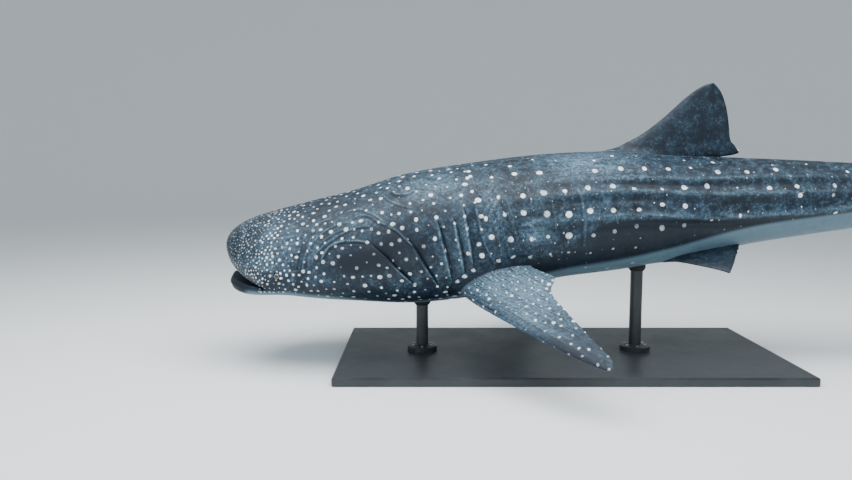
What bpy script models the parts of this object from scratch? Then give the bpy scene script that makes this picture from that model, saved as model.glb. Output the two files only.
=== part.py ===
"""Whale shark as a still, life-size display model, 7 m long, swimming over a flat stand with two rods.

Metres, +Z up. The head points to -X and the left flank faces -Y. The origin is on the floor, at the centre
of the stand's underside. The shark is drawn straight along its own axis first: x runs from the snout tip (0)
to the tip of the upper tail lobe (LENGTH), y is lateral with the left side negative, and z is up from the
axis of the body. Every point then goes through pose(), which swings the tail to one side, pitches the nose
down and lifts the shark over its stand.
"""

import math

import bmesh
import bpy
import numpy as np
from mathutils import Matrix, Vector

# Driving dimensions of the animal
LENGTH = 7.0
GAP = 0.0003

# The body's lines, each row: distance from the snout, top, bottom, half width, height of the widest line
BODY_LINES = (
    (0.50, 0.183, -0.450, 0.475, -0.325),
    (0.70, 0.222, -0.488, 0.505, -0.300),
    (0.95, 0.268, -0.522, 0.535, -0.245),
    (1.35, 0.366, -0.565, 0.570, -0.165),
    (1.75, 0.410, -0.555, 0.560, -0.110),
    (2.40, 0.438, -0.462, 0.510, -0.050),
    (2.90, 0.423, -0.428, 0.445, -0.020),
    (3.45, 0.350, -0.358, 0.362, -0.012),
    (3.85, 0.318, -0.300, 0.310, -0.010),
    (4.25, 0.277, -0.262, 0.262, -0.010),
    (4.65, 0.232, -0.226, 0.214, -0.010),
    (5.05, 0.188, -0.180, 0.166, -0.010),
    (5.40, 0.152, -0.140, 0.125, -0.008),
    (5.62, 0.135, -0.124, 0.095, -0.005),
    (5.85, 0.100, -0.082, 0.058, 0.010),
    (6.02, 0.045, -0.015, 0.024, 0.018),
)
# How square the section is above and below the widest line: 2 is an ellipse, more is boxier
SQUARENESS = (
    (0.50, 2.25, 2.70),
    (1.35, 2.15, 2.60),
    (2.40, 2.05, 2.15),
    (4.00, 2.00, 2.05),
    (6.02, 2.00, 2.00),
)
# Three ridges run down each flank, the lowest one into the tail's keel. Each row: distance from the snout,
# how far down the flank (0 top, 1 belly), how far it stands out
RIDGES = (
    ((1.90, 0.19, 0), (2.50, 0.20, 0.006), (3.00, 0.21, 0.012), (4.10, 0.20, 0.010), (5.30, 0.20, 0)),
    ((1.90, 0.30, 0), (2.50, 0.31, 0.008), (3.00, 0.32, 0.015), (4.10, 0.40, 0.014), (5.40, 0.38, 0)),
    ((1.90, 0.47, 0), (2.50, 0.50, 0.009), (3.00, 0.515, 0.017), (4.10, 0.635, 0.018),
     (5.00, 0.59, 0.030), (5.50, 0.53, 0.050), (5.80, 0.50, 0.040), (6.02, 0.48, 0)),
)
RIDGE_WIDTH = 0.030
RIDGES_FROM = 1.90
BACK_RIDGE, BACK_RIDGE_START = 0.010, 1.6

# Gill slits, each row: top end (distance from the snout, height), bottom end
GILL_SLITS = (
    (1.08, -0.05, 1.42, -0.42),
    (1.34, -0.03, 1.56, -0.44),
    (1.55, 0.08, 1.64, -0.40),
    (1.665, 0.08, 1.725, -0.35),
    (1.735, 0.15, 1.785, -0.31),
)
FLAP_STEP = 0.028
FLAP_FADE = 0.13
FIRST_FLAP = 0.30
LAST_FLAP = 0.16
SLIT_HALF = 0.005
GILLS_END = 1.95

# The mouth: a wide arch across the front of the head, a little open, as distances back and heights
LIP_FRONT_UPPER = (0.080, -0.205)
LIP_FRONT_LOWER = (0.040, -0.275)
MOUTH_CORNER = (0.345, 0.420, -0.360)
LIP_SWELL = 0.012
MOUTH_DEPTH = 0.40
PALATE = 0.050
MOUTH_FLOOR = 0.040
SNOUT_END = 0.50

# Eyes, nostrils and the small openings behind the eyes (spiracles)
EYE_PLACE = (0.395, math.radians(6))
EYE_RADIUS = 0.024
EYE_SUNK = 0.010
SPIRACLE_PLACE = (0.60, math.radians(8))
SPIRACLE_SIZE = (0.018, 0.022, 0.013)
NOSTRIL_PLACE = (0.10, math.radians(50))
NOSTRIL_SIZE = (0.030, 0.016, 0.012)

# Where the body is parted by thin cuts
JAW_BACK = 0.47
NECK_CUT = 0.98
TRUNK_CUT = 2.42
TAIL_CUT = 3.98
STALK_CUT = 5.30
BODY_END = 6.02

# A back fin, each row: front and back of one level as (along, up) from its origin, and its thickness
BACK_FIN = (
    (-0.10, -0.12, 0.66, -0.20, 0.105),
    (0.03, -0.004, 0.70, -0.088, 0.098),
    (0.13, 0.038, 1.00, -0.064, 0.086),
    (0.29, 0.112, 0.948, 0.030, 0.072),
    (0.425, 0.200, 0.938, 0.128, 0.060),
    (0.525, 0.278, 0.930, 0.215, 0.048),
    (0.61, 0.348, 0.915, 0.298, 0.037),
    (0.70, 0.410, 0.888, 0.378, 0.027),
    (0.77, 0.443, 0.857, 0.426, 0.019),
    (0.815, 0.453, 0.835, 0.449, 0.012),
)
FIRST_DORSAL_START, FIRST_DORSAL_SCALE = 2.79, 1.0
SECOND_DORSAL_START, SECOND_DORSAL_SCALE = 4.70, 0.48
ANAL_START, ANAL_SCALE = 4.80, 0.43

# The tail fin, each row: front and back of one level as (along, up), and its thickness
UPPER_LOBE = (
    (5.50, 0.020, 6.110, 0.020, 0.060),
    (5.53, 0.100, 6.135, 0.060, 0.062),
    (5.64, 0.175, 6.185, 0.125, 0.060),
    (5.82, 0.300, 6.275, 0.220, 0.056),
    (6.03, 0.485, 6.400, 0.375, 0.050),
    (6.28, 0.715, 6.560, 0.580, 0.042),
    (6.53, 0.930, 6.735, 0.800, 0.034),
    (6.76, 1.110, 6.880, 1.010, 0.026),
    (6.91, 1.210, 6.965, 1.155, 0.018),
    (6.98, 1.252, 7.000, 1.240, 0.011),
)
LOWER_LOBE = (
    (5.50, 0.020, 6.110, 0.020, 0.060),
    (5.55, -0.100, 6.112, -0.045, 0.060),
    (5.64, -0.220, 6.100, -0.165, 0.056),
    (5.76, -0.375, 6.105, -0.310, 0.048),
    (5.88, -0.535, 6.130, -0.470, 0.038),
    (6.00, -0.675, 6.160, -0.625, 0.028),
    (6.09, -0.765, 6.185, -0.740, 0.019),
    (6.15, -0.805, 6.190, -0.802, 0.011),
)

# Paired fins, left side: root of the front edge, tip, direction of the chord, rows of (share of the span,
# chord, thickness), and how far the middle of the span bows up and forward
PECTORAL_ROOT = (1.70, -0.420, -0.470)
PECTORAL_TIP = (2.43, -1.450, -0.768)
PECTORAL_CHORD = (0.60, -0.20, 0.125)
PECTORAL_ROWS = (
    (-0.22, 0.60, 0.260),
    (-0.04, 0.62, 0.190),
    (0.06, 0.62, 0.135),
    (0.16, 0.525, 0.100),
    (0.26, 0.457, 0.078),
    (0.40, 0.395, 0.062),
    (0.55, 0.325, 0.048),
    (0.70, 0.260, 0.036),
    (0.84, 0.192, 0.026),
    (0.94, 0.122, 0.019),
    (1.00, 0.040, 0.012),
)
PECTORAL_BOW = (0.012, 0.055)
PELVIC_ROOT = (3.20, -0.190, -0.365)
PELVIC_TIP = (3.52, -0.450, -0.435)
PELVIC_CHORD = (0.93, 0.20, 0.20)
PELVIC_ROWS = (
    (-0.25, 0.24, 0.055),
    (0.05, 0.32, 0.050),
    (0.22, 0.45, 0.044),
    (0.42, 0.38, 0.036),
    (0.62, 0.26, 0.028),
    (0.80, 0.155, 0.021),
    (0.93, 0.07, 0.015),
    (1.00, 0.02, 0.010),
)
PELVIC_BOW = (0.015, 0.010)
# Points along a fin's chord, and the thickness of its trailing edge
CHORD_STEPS = (0.0, 0.02, 0.08, 0.20, 0.38, 0.60, 0.82, 1.0)
TRAILING_EDGE = 0.006

# The swimming pose and the stand
NOSE_DOWN = math.radians(3.5)
OVER_STAND = 2.46
AXIS_HEIGHT = 1.08
TAIL_SWING = 0.30
SWING_START = 3.9
BASE_LENGTH, BASE_WIDTH, BASE_THICK, BASE_BEVEL = 3.2, 1.5, 0.06, 0.012
ROD_RADIUS = 0.045
ROD_PLACES = {"front": 1.45, "rear": 3.05}
COLLAR_RADIUS, COLLAR_HEIGHT, COLLAR_SLOPE = 0.11, 0.035, 0.012


def smooth(table, x, column):
    """A smooth line through one column of a table whose first column is the distance."""
    if x <= table[0][0]:
        return table[0][column]
    if x >= table[-1][0]:
        return table[-1][column]
    i = max(k for k in range(len(table) - 1) if table[k][0] <= x)

    def slope(k):
        a, b = max(k - 1, 0), min(k + 1, len(table) - 1)
        return (table[b][column] - table[a][column]) / (table[b][0] - table[a][0])

    span = table[i + 1][0] - table[i][0]
    t = (x - table[i][0]) / span
    return hermite(t, table[i][column], span * slope(i), table[i + 1][column], span * slope(i + 1))


def hermite(t, start, leave, end, arrive):
    """A curve from start to end with the slopes leave and arrive."""
    rise = 3 * t**2 - 2 * t**3
    return (1 - rise) * start + (t**3 - 2 * t**2 + t) * leave + rise * end + (t**3 - t**2) * arrive


def ease(t):
    """0 to 1 with soft ends."""
    t = min(1.0, max(0.0, t))
    return t * t * (3 - 2 * t)


def power(value, exponent):
    """A power that keeps the sign, for superellipses."""
    return math.copysign(abs(value) ** exponent, value)


def lines(x):
    """Top, bottom, half width and height of the widest line of the body at x."""
    return [smooth(BODY_LINES, x, column) for column in range(1, 5)]


def pose(point):
    """From the straight shark to where it swims over the stand."""
    x, y, z = point
    run = LENGTH - SWING_START
    t = max(0.0, (x - SWING_START) / run)
    aside = -TAIL_SWING * t**2
    turn = math.atan(-2 * TAIL_SWING * t / run)
    along = x - y * math.sin(turn) - OVER_STAND
    c, s = math.cos(NOSE_DOWN), math.sin(NOSE_DOWN)
    return Vector((along * c - z * s, aside + y * math.cos(turn), along * s + z * c + AXIS_HEIGHT))


def ridge_angle(ridge, x):
    """Where round the section a ridge runs: 0 at the widest line, a quarter turn at the top."""
    top, bottom, _, middle = lines(x)
    height = top - smooth(ridge, x, 1) * (top - bottom)
    if height > middle:
        return math.asin(min(0.97, (height - middle) / (top - middle)))
    return -math.asin(min(0.97, (middle - height) / (middle - bottom)))


def slit_x(slit, z):
    """How far back a gill slit lies at the height z."""
    x_top, z_top, x_bottom, z_bottom = slit
    share = (z_top - z) / (z_top - z_bottom)
    return x_top + (x_bottom - x_top) * min(1.15, max(-0.15, share))


def gill_flap(x, z):
    """How far the skin stands out: it rises to the rear edge of each gill flap and drops behind it."""
    edges = [slit_x(GILL_SLITS[0], z) - FIRST_FLAP] + [slit_x(slit, z) for slit in GILL_SLITS]
    if x <= edges[0] or x >= edges[-1] + LAST_FLAP:
        return 0.0
    behind = sum(1 for edge in edges if x > edge) - 1
    if behind == len(GILL_SLITS):
        slit = GILL_SLITS[-1]
        rise = -0.5 * (1 - ease((x - edges[-1]) / LAST_FLAP))
    else:
        slit = GILL_SLITS[behind]
        share = (x - edges[behind]) / (edges[behind + 1] - edges[behind])
        rise = 0.5 * share**2 if behind == 0 else share**1.5 - 0.5
    return FLAP_STEP * rise * ease((slit[1] - z) / FLAP_FADE) * ease((z - slit[3]) / FLAP_FADE)


def skin(x, angle, grown=0.0):
    """A point of the body's surface, with its ridges, keel and gill flaps."""
    top, bottom, half, middle = lines(x)
    upper = math.sin(angle) >= 0
    n = smooth(SQUARENESS, x, 1 if upper else 2)
    reach = top - middle if upper else middle - bottom
    y = -half * power(math.cos(angle), 2 / n)
    z = middle + reach * power(math.sin(angle), 2 / n)
    out_y, out_z = y / half**2, (z - middle) / reach**2
    scale = math.hypot(out_y, out_z)
    folded = math.atan2(math.sin(angle), abs(math.cos(angle)))
    radius = (top - bottom) / 2
    out = grown + gill_flap(x, z)
    for ridge in RIDGES:
        away = (folded - ridge_angle(ridge, x)) * radius / RIDGE_WIDTH
        out += smooth(ridge, x, 2) * math.exp(-(away**2))
    away = (folded - math.pi / 2) * radius / RIDGE_WIDTH
    rise = BACK_RIDGE * ease((x - BACK_RIDGE_START) / 0.8) * ease((BODY_END - x) / 0.6)
    out += rise * math.exp(-(away**2))
    return x, y + out * out_y / scale, z + out * out_z / scale


def mouth_middle(y):
    """Height of the line between the lips."""
    front = (LIP_FRONT_UPPER[1] + LIP_FRONT_LOWER[1]) / 2
    return front + (MOUTH_CORNER[2] - front) * min(1.0, abs(y) / MOUTH_CORNER[1]) ** 1.6


def lip(angle):
    """A point of the mouth's rim: the upper lip for angles over 0, the lower one under it."""
    y = -MOUTH_CORNER[1] * math.cos(angle)
    front = LIP_FRONT_UPPER[0] if math.sin(angle) >= 0 else LIP_FRONT_LOWER[0]
    x = front + (MOUTH_CORNER[0] - front) * abs(math.cos(angle)) ** 2.6
    gape = (LIP_FRONT_UPPER[1] - LIP_FRONT_LOWER[1]) / 2
    return x, y, mouth_middle(y) + gape * math.sin(angle) * abs(math.sin(angle))


def snout(t, angle):
    """The front of the head, from the rim of the mouth (t = 0) back to the first full section (t = 1)."""
    start = np.array(lip(angle))
    end = np.array(skin(SNOUT_END, angle))
    rise, side = math.sin(angle), -math.cos(angle)
    if rise >= 0:
        leave = np.array((-0.74 * rise, 0.16 * side, 0.85 * rise))
    else:
        leave = np.array((0.30 * rise, 0.16 * side, 0.46 * rise))
    step = 0.02
    slope = (np.array(skin(SNOUT_END + step, angle)) - end) / step
    point = hermite(t, start, leave, end, slope * (0.25 + 0.32 * abs(rise)))
    lip_swell = LIP_SWELL * abs(rise) * math.exp(-(((t - 0.06) / 0.05) ** 2)) * min(1.0, t / 0.03)
    return tuple(point + lip_swell * leave / np.linalg.norm(leave))


def mouth(t, angle):
    """The inside of the mouth, from its rim (t = 0) to its blind end (t = 1)."""
    x, y, z = lip(angle)
    half_open = abs(z - mouth_middle(y))
    y *= 1 - 0.30 * t
    x += (MOUTH_DEPTH - x) * t
    vault = (PALATE if math.sin(angle) >= 0 else MOUTH_FLOOR) * math.sin(math.pi * t * 0.9)
    half_open = half_open * (1 - 0.6 * t) + vault * abs(math.sin(angle)) ** 0.7
    return x, y, mouth_middle(y) + math.copysign(half_open, math.sin(angle))


def between(start, end, count):
    """Evenly spaced values between two others, ends left out."""
    return [start + (end - start) * (i + 1) / (count + 1) for i in range(count)]


def ring_angles(x):
    """Angles round a section, from the back down the left side and up the right one.

    They lie evenly round the head and the gills, and follow the ridges from there on.
    """
    above, below = 16, 12
    turns = [math.pi / 2 * (1 - i / above) for i in range(above + 1)]
    turns += [-math.pi / 2 * (i + 1) / below for i in range(below)]
    even = []
    for turn in turns:
        n = smooth(SQUARENESS, x, 1 if turn >= 0 else 2)
        even.append(math.atan2(power(math.sin(turn), n / 2), max(0.0, math.cos(turn)) ** (n / 2)))
    place = max(x, RIDGES_FROM)
    top, bottom, _, _ = lines(place)
    crests = [ridge_angle(ridge, place) for ridge in RIDGES]
    apart = min(crests[0] - crests[1], crests[1] - crests[2])
    foot = min(1.7 * RIDGE_WIDTH / ((top - bottom) / 2), 0.4 * apart)
    flank = [math.pi / 2]
    for crest, count in zip(crests, (3, 2, 2)):
        flank += between(flank[-1], crest + foot, count) + [crest + foot, crest, crest - foot]
    flank += between(flank[-1], -math.pi / 2, above + below - len(flank)) + [-math.pi / 2]
    blend = ease((x - RIDGES_FROM) / 0.5)
    left = [a + (b - a) * blend for a, b in zip(even, flank)]
    return left + [math.pi - a for a in reversed(left[1:-1])]


def slit_ring(low, high, share):
    """A ring of body points that lies between two lines given as functions of the height."""
    place = low(0.0) + (high(0.0) - low(0.0)) * share
    ring = []
    for angle in ring_angles(place):
        x = place
        for _ in range(3):
            z = skin(x, angle)[2]
            x = low(z) + (high(z) - low(z)) * share
        ring.append((x, angle))
    return ring


def body_rings(grown=0.0):
    """All rings of the body's surface from the blind end of the mouth, round the lips, to the tail."""
    head = ring_angles(SNOUT_END)
    rings = [[mouth(t, a) for a in head] for t in (1.0, 0.8, 0.55, 0.3, 0.12)]
    rings += [[lip(a) for a in head]]
    rings += [[snout(t, a) for a in head] for t in (0.03, 0.07, 0.14, 0.24, 0.38, 0.54, 0.70, 0.85)]
    stations = [0.50, 0.62, 0.74, 0.86]
    rings += [[skin(x, a, grown) for a in ring_angles(x)] for x in stations]
    marks = [lambda z: NECK_CUT]
    for slit in GILL_SLITS:
        marks.append(lambda z, slit=slit: slit_x(slit, z) - SLIT_HALF)
        marks.append(lambda z, slit=slit: slit_x(slit, z) + SLIT_HALF)
    marks.append(lambda z: GILLS_END)
    rings_between = {0: 3, 2: 4, 4: 2, 6: 1, 8: 1, 10: 2}
    for i, mark in enumerate(marks[:-1]):
        count = rings_between.get(i, 0)
        for k in range(count + 1):
            ring = slit_ring(mark, marks[i + 1], k / (count + 1))
            rings.append([skin(x, a, grown) for x, a in ring])
    stations = [GILLS_END, 2.10, 2.26, TRUNK_CUT, 2.60, 2.80, 3.00, 3.20, 3.40, 3.60, 3.80, TAIL_CUT]
    stations += [4.14, 4.32, 4.50, 4.70, 4.90, 5.10, STALK_CUT, 5.42, 5.54, 5.66, 5.78, 5.90, BODY_END]
    rings += [[skin(x, a, grown) for a in ring_angles(x)] for x in stations]
    return rings


def material(name, colour, roughness, metallic=0.0):
    """A plain Principled material."""
    found = bpy.data.materials.new(name)
    found.use_nodes = True
    shader = found.node_tree.nodes["Principled BSDF"]
    shader.inputs["Base Color"].default_value = (*colour, 1.0)
    shader.inputs["Roughness"].default_value = roughness
    shader.inputs["Metallic"].default_value = metallic
    found.diffuse_color = (*colour, 1.0)
    return found


def add_object(name, bm, look, collection):
    """A new object from a bmesh, faces pointing out."""
    bmesh.ops.recalc_face_normals(bm, faces=bm.faces)
    mesh = bpy.data.meshes.new(name)
    bm.to_mesh(mesh)
    bm.free()
    mesh.materials.append(look)
    made = bpy.data.objects.new(name, mesh)
    collection.objects.link(made)
    return made


def loft(rings):
    """A closed bmesh through rings of straight-shark points, capped at both ends, all triangles."""
    bm = bmesh.new()
    rows = [[bm.verts.new(pose(point)) for point in ring] for ring in rings]
    for row, after in zip(rows, rows[1:]):
        for i, vert in enumerate(row):
            j = (i + 1) % len(row)
            bm.faces.new((vert, row[j], after[j], after[i]))
    for row in (rows[0], rows[-1]):
        bm.faces.new(row)
    bmesh.ops.triangulate(bm, faces=bm.faces)
    return bm


def swell(bm, distance):
    """Moves every vertex of a closed bmesh out along its normal."""
    bmesh.ops.recalc_face_normals(bm, faces=bm.faces)
    bm.normal_update()
    moved = [(vert, vert.co + vert.normal * distance) for vert in bm.verts]
    for vert, place in moved:
        vert.co = place
    return bm


def cut_between(bm, start, end):
    """Keeps what lies between two cross sections of the shark, and closes the cuts."""
    for x, direction in ((start, -1.0), (end, 1.0)):
        if x is None:
            continue
        centre = pose((x, 0, 0))
        normal = (pose((x + 0.01, 0, 0)) - pose((x - 0.01, 0, 0))).normalized()
        centre -= normal * direction * GAP / 2
        geometry = bm.verts[:] + bm.edges[:] + bm.faces[:]
        cut = bmesh.ops.bisect_plane(
            bm, geom=geometry, dist=1e-6, plane_co=centre, plane_no=normal * direction, clear_outer=True
        )
        edges = [item for item in cut["geom_cut"] if isinstance(item, bmesh.types.BMEdge)]
        bmesh.ops.holes_fill(bm, edges=edges, sides=0)
    return bm


def boolean(target, cutter, operation):
    """Applies one Boolean to an object and keeps its largest closed surface."""
    modifier = target.modifiers.new("cut", "BOOLEAN")
    modifier.operation = operation
    modifier.object = cutter
    modifier.solver = "EXACT"
    evaluated = target.evaluated_get(bpy.context.evaluated_depsgraph_get())
    result = bpy.data.meshes.new_from_object(evaluated)
    target.modifiers.remove(modifier)
    old = target.data
    target.data = result
    bpy.data.meshes.remove(old)
    keep_largest(target)


def keep_largest(target):
    """Drops loose scraps: only the surface with the most faces stays."""
    bm = bmesh.new()
    bm.from_mesh(target.data)
    bmesh.ops.remove_doubles(bm, verts=bm.verts, dist=1e-6)
    left = set(bm.faces)
    pieces = []
    while left:
        found = set()
        stack = [left.pop()]
        while stack:
            face = stack.pop()
            found.add(face)
            near = {other for edge in face.edges for other in edge.link_faces if other in left}
            left -= near
            stack += near
        pieces.append(found)
    pieces.sort(key=len)
    for scrap in pieces[:-1]:
        bmesh.ops.delete(bm, geom=list(scrap), context="FACES")
    bmesh.ops.triangulate(bm, faces=bm.faces)
    bm.to_mesh(target.data)
    bm.free()


def mouth_block(raise_by, back):
    """A block under the line between the lips, for parting the lower jaw from the head."""
    steps = 28
    front, half_width, depth = -0.3, 0.75, -0.9
    bm = bmesh.new()
    rows = []
    for x in (front, back):
        upper, lower = [], []
        for i in range(steps + 1):
            y = half_width * (2 * i / steps - 1)
            upper.append(bm.verts.new(pose((x, y, mouth_middle(y) + raise_by))))
            lower.append(bm.verts.new(pose((x, y, depth))))
        rows.append(upper + lower[::-1])
    for i in range(len(rows[0])):
        j = (i + 1) % len(rows[0])
        bm.faces.new((rows[0][i], rows[0][j], rows[1][j], rows[1][i]))
    for row in rows:
        bm.faces.new(row)
    bmesh.ops.triangulate(bm, faces=bm.faces)
    return bm


def foil(share, thickness):
    """Half thickness of a fin at a share of its chord."""
    curve = 0.2969 * share**0.5 - 0.126 * share - 0.3516 * share**2 + 0.2843 * share**3 - 0.1015 * share**4
    return 5 * thickness * curve + min(TRAILING_EDGE, 0.3 * thickness) / 2 * share


def fin_loft(levels):
    """A fin through levels of (front, back, normal, thickness), split into triangles alike on both faces."""
    bm = bmesh.new()
    rows = []
    for front, back, normal, thickness in levels:
        sides = []
        for sign in (1, -1):
            side = []
            for share in CHORD_STEPS:
                point = front + (back - front) * share + normal * sign * foil(share, thickness)
                if share == 0 and sign < 0:
                    side.append(sides[0][0])
                    continue
                side.append(bm.verts.new(pose(point)))
            sides.append(side)
        rows.append(sides)
    for (left, right), (next_left, next_right) in zip(rows, rows[1:]):
        for i in range(len(CHORD_STEPS) - 1):
            bm.faces.new((left[i], left[i + 1], next_left[i + 1]))
            bm.faces.new((left[i], next_left[i + 1], next_left[i]))
            bm.faces.new((right[i + 1], right[i], next_right[i + 1]))
            bm.faces.new((next_right[i + 1], right[i], next_right[i]))
        bm.faces.new((left[-1], right[-1], next_right[-1]))
        bm.faces.new((left[-1], next_right[-1], next_left[-1]))
    for left, right in (rows[0], rows[-1]):
        bm.faces.new((left[0], left[1], right[1]))
        for i in range(1, len(CHORD_STEPS) - 1):
            bm.faces.new((left[i], left[i + 1], right[i + 1]))
            bm.faces.new((left[i], right[i + 1], right[i]))
    return bm


def middle_fin(rows, start_x=0.0, start_z=0.0, scale=1.0, up=1.0):
    """Levels of a fin in the middle plane, from rows of (front x, front z, back x, back z, thickness)."""
    levels = []
    for front_x, front_z, back_x, back_z, thickness in rows:
        front = np.array((start_x + front_x * scale, 0.0, start_z + front_z * scale * up))
        back = np.array((start_x + back_x * scale, 0.0, start_z + back_z * scale * up))
        levels.append((front, back, np.array((0.0, 1.0, 0.0)), thickness * scale))
    return levels


def paired_fin(root, tip, chord, rows, bow, side):
    """Levels of a fin that grows out of one flank; side is 1 for the left fin and -1 for the right one."""
    flip = np.array((1.0, side, 1.0))
    root, tip, chord = np.array(root), np.array(tip), np.array(chord) / np.linalg.norm(chord)
    normal = np.cross(tip - root, chord)
    normal /= np.linalg.norm(normal)
    if normal[2] < 0:
        normal = -normal
    levels = []
    for share, length, thickness in rows:
        arch = 1 - (2 * max(0.0, share) - 1) ** 4
        front = root + (tip - root) * share + normal * bow[0] * arch - chord * bow[1] * arch
        levels.append((front * flip, (front + chord * length) * flip, normal * flip, thickness))
    return levels


def ball(place, sizes, subdivisions=2):
    """An ellipsoid of small faces around a place of the straight shark."""
    bm = bmesh.new()
    bmesh.ops.create_icosphere(bm, subdivisions=subdivisions, radius=1.0)
    matrix = Matrix.Translation(pose(place)) @ Matrix.Diagonal((*sizes, 1))
    bmesh.ops.transform(bm, matrix=matrix, verts=bm.verts)
    return bm


def rod_block(x):
    """A round rod with a collar at its foot, as high as the middle of the body."""
    foot = pose((x, 0, 0))
    height = foot.z - BASE_THICK
    profile = (
        (0.0, 0.0),
        (COLLAR_RADIUS, 0.0),
        (COLLAR_RADIUS, COLLAR_HEIGHT),
        (ROD_RADIUS, COLLAR_HEIGHT + COLLAR_SLOPE),
        (ROD_RADIUS, height),
        (0.0, height),
    )
    bm = bmesh.new()
    verts = [bm.verts.new((foot.x + r, 0.0, BASE_THICK + GAP + z)) for r, z in profile]
    edges = [bm.edges.new(pair) for pair in zip(verts, verts[1:])]
    turn = {"cent": (foot.x, 0, 0), "axis": (0, 0, 1), "angle": 2 * math.pi}
    bmesh.ops.spin(bm, geom=verts + edges, steps=32, use_merge=True, **turn)
    bmesh.ops.remove_doubles(bm, verts=bm.verts, dist=1e-6)
    return bm


def build_body(collection, cutters, look):
    """The body, modelled whole and parted with thin cuts. Returns a cutter a little larger than it."""
    whole = loft(body_rings())
    spans = {
        "head": (None, NECK_CUT),
        "gill_region": (NECK_CUT, TRUNK_CUT),
        "trunk": (TRUNK_CUT, TAIL_CUT),
        "tail": (TAIL_CUT, STALK_CUT),
        "tail_stalk": (STALK_CUT, None),
    }
    for name, (start, end) in spans.items():
        add_object(name, cut_between(whole.copy(), start, end), look, collection)
    head = collection.objects["head"]
    jaw = add_object("lower_jaw", cut_between(whole.copy(), None, NECK_CUT), look, collection)
    low_block = add_object("block_for_jaw", mouth_block(-GAP / 2, JAW_BACK - GAP / 2), look, cutters)
    high_block = add_object("block_for_head", mouth_block(GAP / 2, JAW_BACK + GAP / 2), look, cutters)
    boolean(jaw, low_block, "INTERSECT")
    boolean(head, high_block, "DIFFERENCE")
    hull = add_object("body_cutter", swell(whole, 1.6 * GAP), look, cutters)
    return hull


def build_face(collection, cutters, look, eye_look):
    """Eyes in their sockets, spiracles and nostrils."""
    head = collection.objects["head"]
    for name, side in (("left", 1.0), ("right", -1.0)):
        flip = np.array((1.0, side, 1.0))
        place = np.array(snout(EYE_PLACE[0] / SNOUT_END, EYE_PLACE[1])) + np.array((0, EYE_SUNK, 0))
        socket = ball(place * flip, (EYE_RADIUS + GAP,) * 3, 3)
        boolean(head, add_object(f"socket_{name}", socket, look, cutters), "DIFFERENCE")
        add_object(f"eye_{name}", ball(place * flip, (EYE_RADIUS,) * 3, 3), eye_look, collection)
        spiracle = ball(np.array(skin(*SPIRACLE_PLACE)) * flip, SPIRACLE_SIZE)
        boolean(head, add_object(f"spiracle_{name}", spiracle, look, cutters), "DIFFERENCE")
        nostril = ball(np.array(snout(*NOSTRIL_PLACE)) * flip, NOSTRIL_SIZE)
        boolean(head, add_object(f"nostril_{name}", nostril, look, cutters), "DIFFERENCE")


def build_fins(collection, hull, look):
    """Every fin, its root sunk in the body and then cut to the body's surface."""
    first_top = lines(FIRST_DORSAL_START)[0]
    second_top = lines(SECOND_DORSAL_START)[0]
    anal_bottom = lines(ANAL_START)[1]
    fins = {
        "dorsal_fin_first": middle_fin(BACK_FIN, FIRST_DORSAL_START, first_top, FIRST_DORSAL_SCALE),
        "dorsal_fin_second": middle_fin(BACK_FIN, SECOND_DORSAL_START, second_top, SECOND_DORSAL_SCALE),
        "anal_fin": middle_fin(BACK_FIN, ANAL_START, anal_bottom, ANAL_SCALE, -1.0),
        "caudal_fin_upper": middle_fin(UPPER_LOBE, start_z=GAP / 2),
        "caudal_fin_lower": middle_fin(LOWER_LOBE, start_z=-GAP / 2),
    }
    pectoral = (PECTORAL_ROOT, PECTORAL_TIP, PECTORAL_CHORD, PECTORAL_ROWS, PECTORAL_BOW)
    pelvic = (PELVIC_ROOT, PELVIC_TIP, PELVIC_CHORD, PELVIC_ROWS, PELVIC_BOW)
    for name, side in (("left", 1.0), ("right", -1.0)):
        fins[f"pectoral_fin_{name}"] = paired_fin(*pectoral, side)
        fins[f"pelvic_fin_{name}"] = paired_fin(*pelvic, side)
    for name, levels in fins.items():
        boolean(add_object(name, fin_loft(levels), look, collection), hull, "DIFFERENCE")


def build_stand(collection, hull, look):
    """A flat base and two rods cut to the belly."""
    bm = bmesh.new()
    bmesh.ops.create_cube(bm, size=1.0)
    size = Matrix.Diagonal((BASE_LENGTH, BASE_WIDTH, BASE_THICK, 1))
    bmesh.ops.transform(bm, matrix=Matrix.Translation((0, 0, BASE_THICK / 2)) @ size, verts=bm.verts)
    base = add_object("stand_base", bm, look, collection)
    bevel = base.modifiers.new("edges", "BEVEL")
    bevel.width = BASE_BEVEL
    bevel.segments = 2
    for name, x in ROD_PLACES.items():
        boolean(add_object(f"stand_rod_{name}", rod_block(x), look, collection), hull, "DIFFERENCE")


def build():
    """The whole model."""
    for old in list(bpy.data.objects):
        bpy.data.objects.remove(old)
    collection = bpy.data.collections.new("whale_shark")
    cutters = bpy.data.collections.new("cutters")
    bpy.context.scene.collection.children.link(collection)
    bpy.context.scene.collection.children.link(cutters)
    skin_look = material("spotted_skin", (0.075, 0.125, 0.165), 0.45)
    eye_look = material("eye", (0.01, 0.01, 0.012), 0.08)
    stand_look = material("stand_paint", (0.05, 0.055, 0.06), 0.4)
    hull = build_body(collection, cutters, skin_look)
    build_face(collection, cutters, skin_look, eye_look)
    build_fins(collection, hull, skin_look)
    build_stand(collection, hull, stand_look)
    for cutter in cutters.objects:
        cutter.hide_render = True
        cutter.display_type = "WIRE"


build()
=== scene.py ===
"""Visual model of a life-size whale shark, still, on a flat stand with two rods, in metres and +Z up.

The animal is drawn straight along its own axis: x runs from the snout tip to the tail's tip, y is lateral
with the left side negative, and z is up from the body's axis. At the end every point goes through pose(),
which swings the tail aside, pitches the nose down and lifts the animal over its stand.
"""

import math

import bmesh
import bpy
import numpy as np
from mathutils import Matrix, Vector
from mathutils.bvhtree import BVHTree


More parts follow.
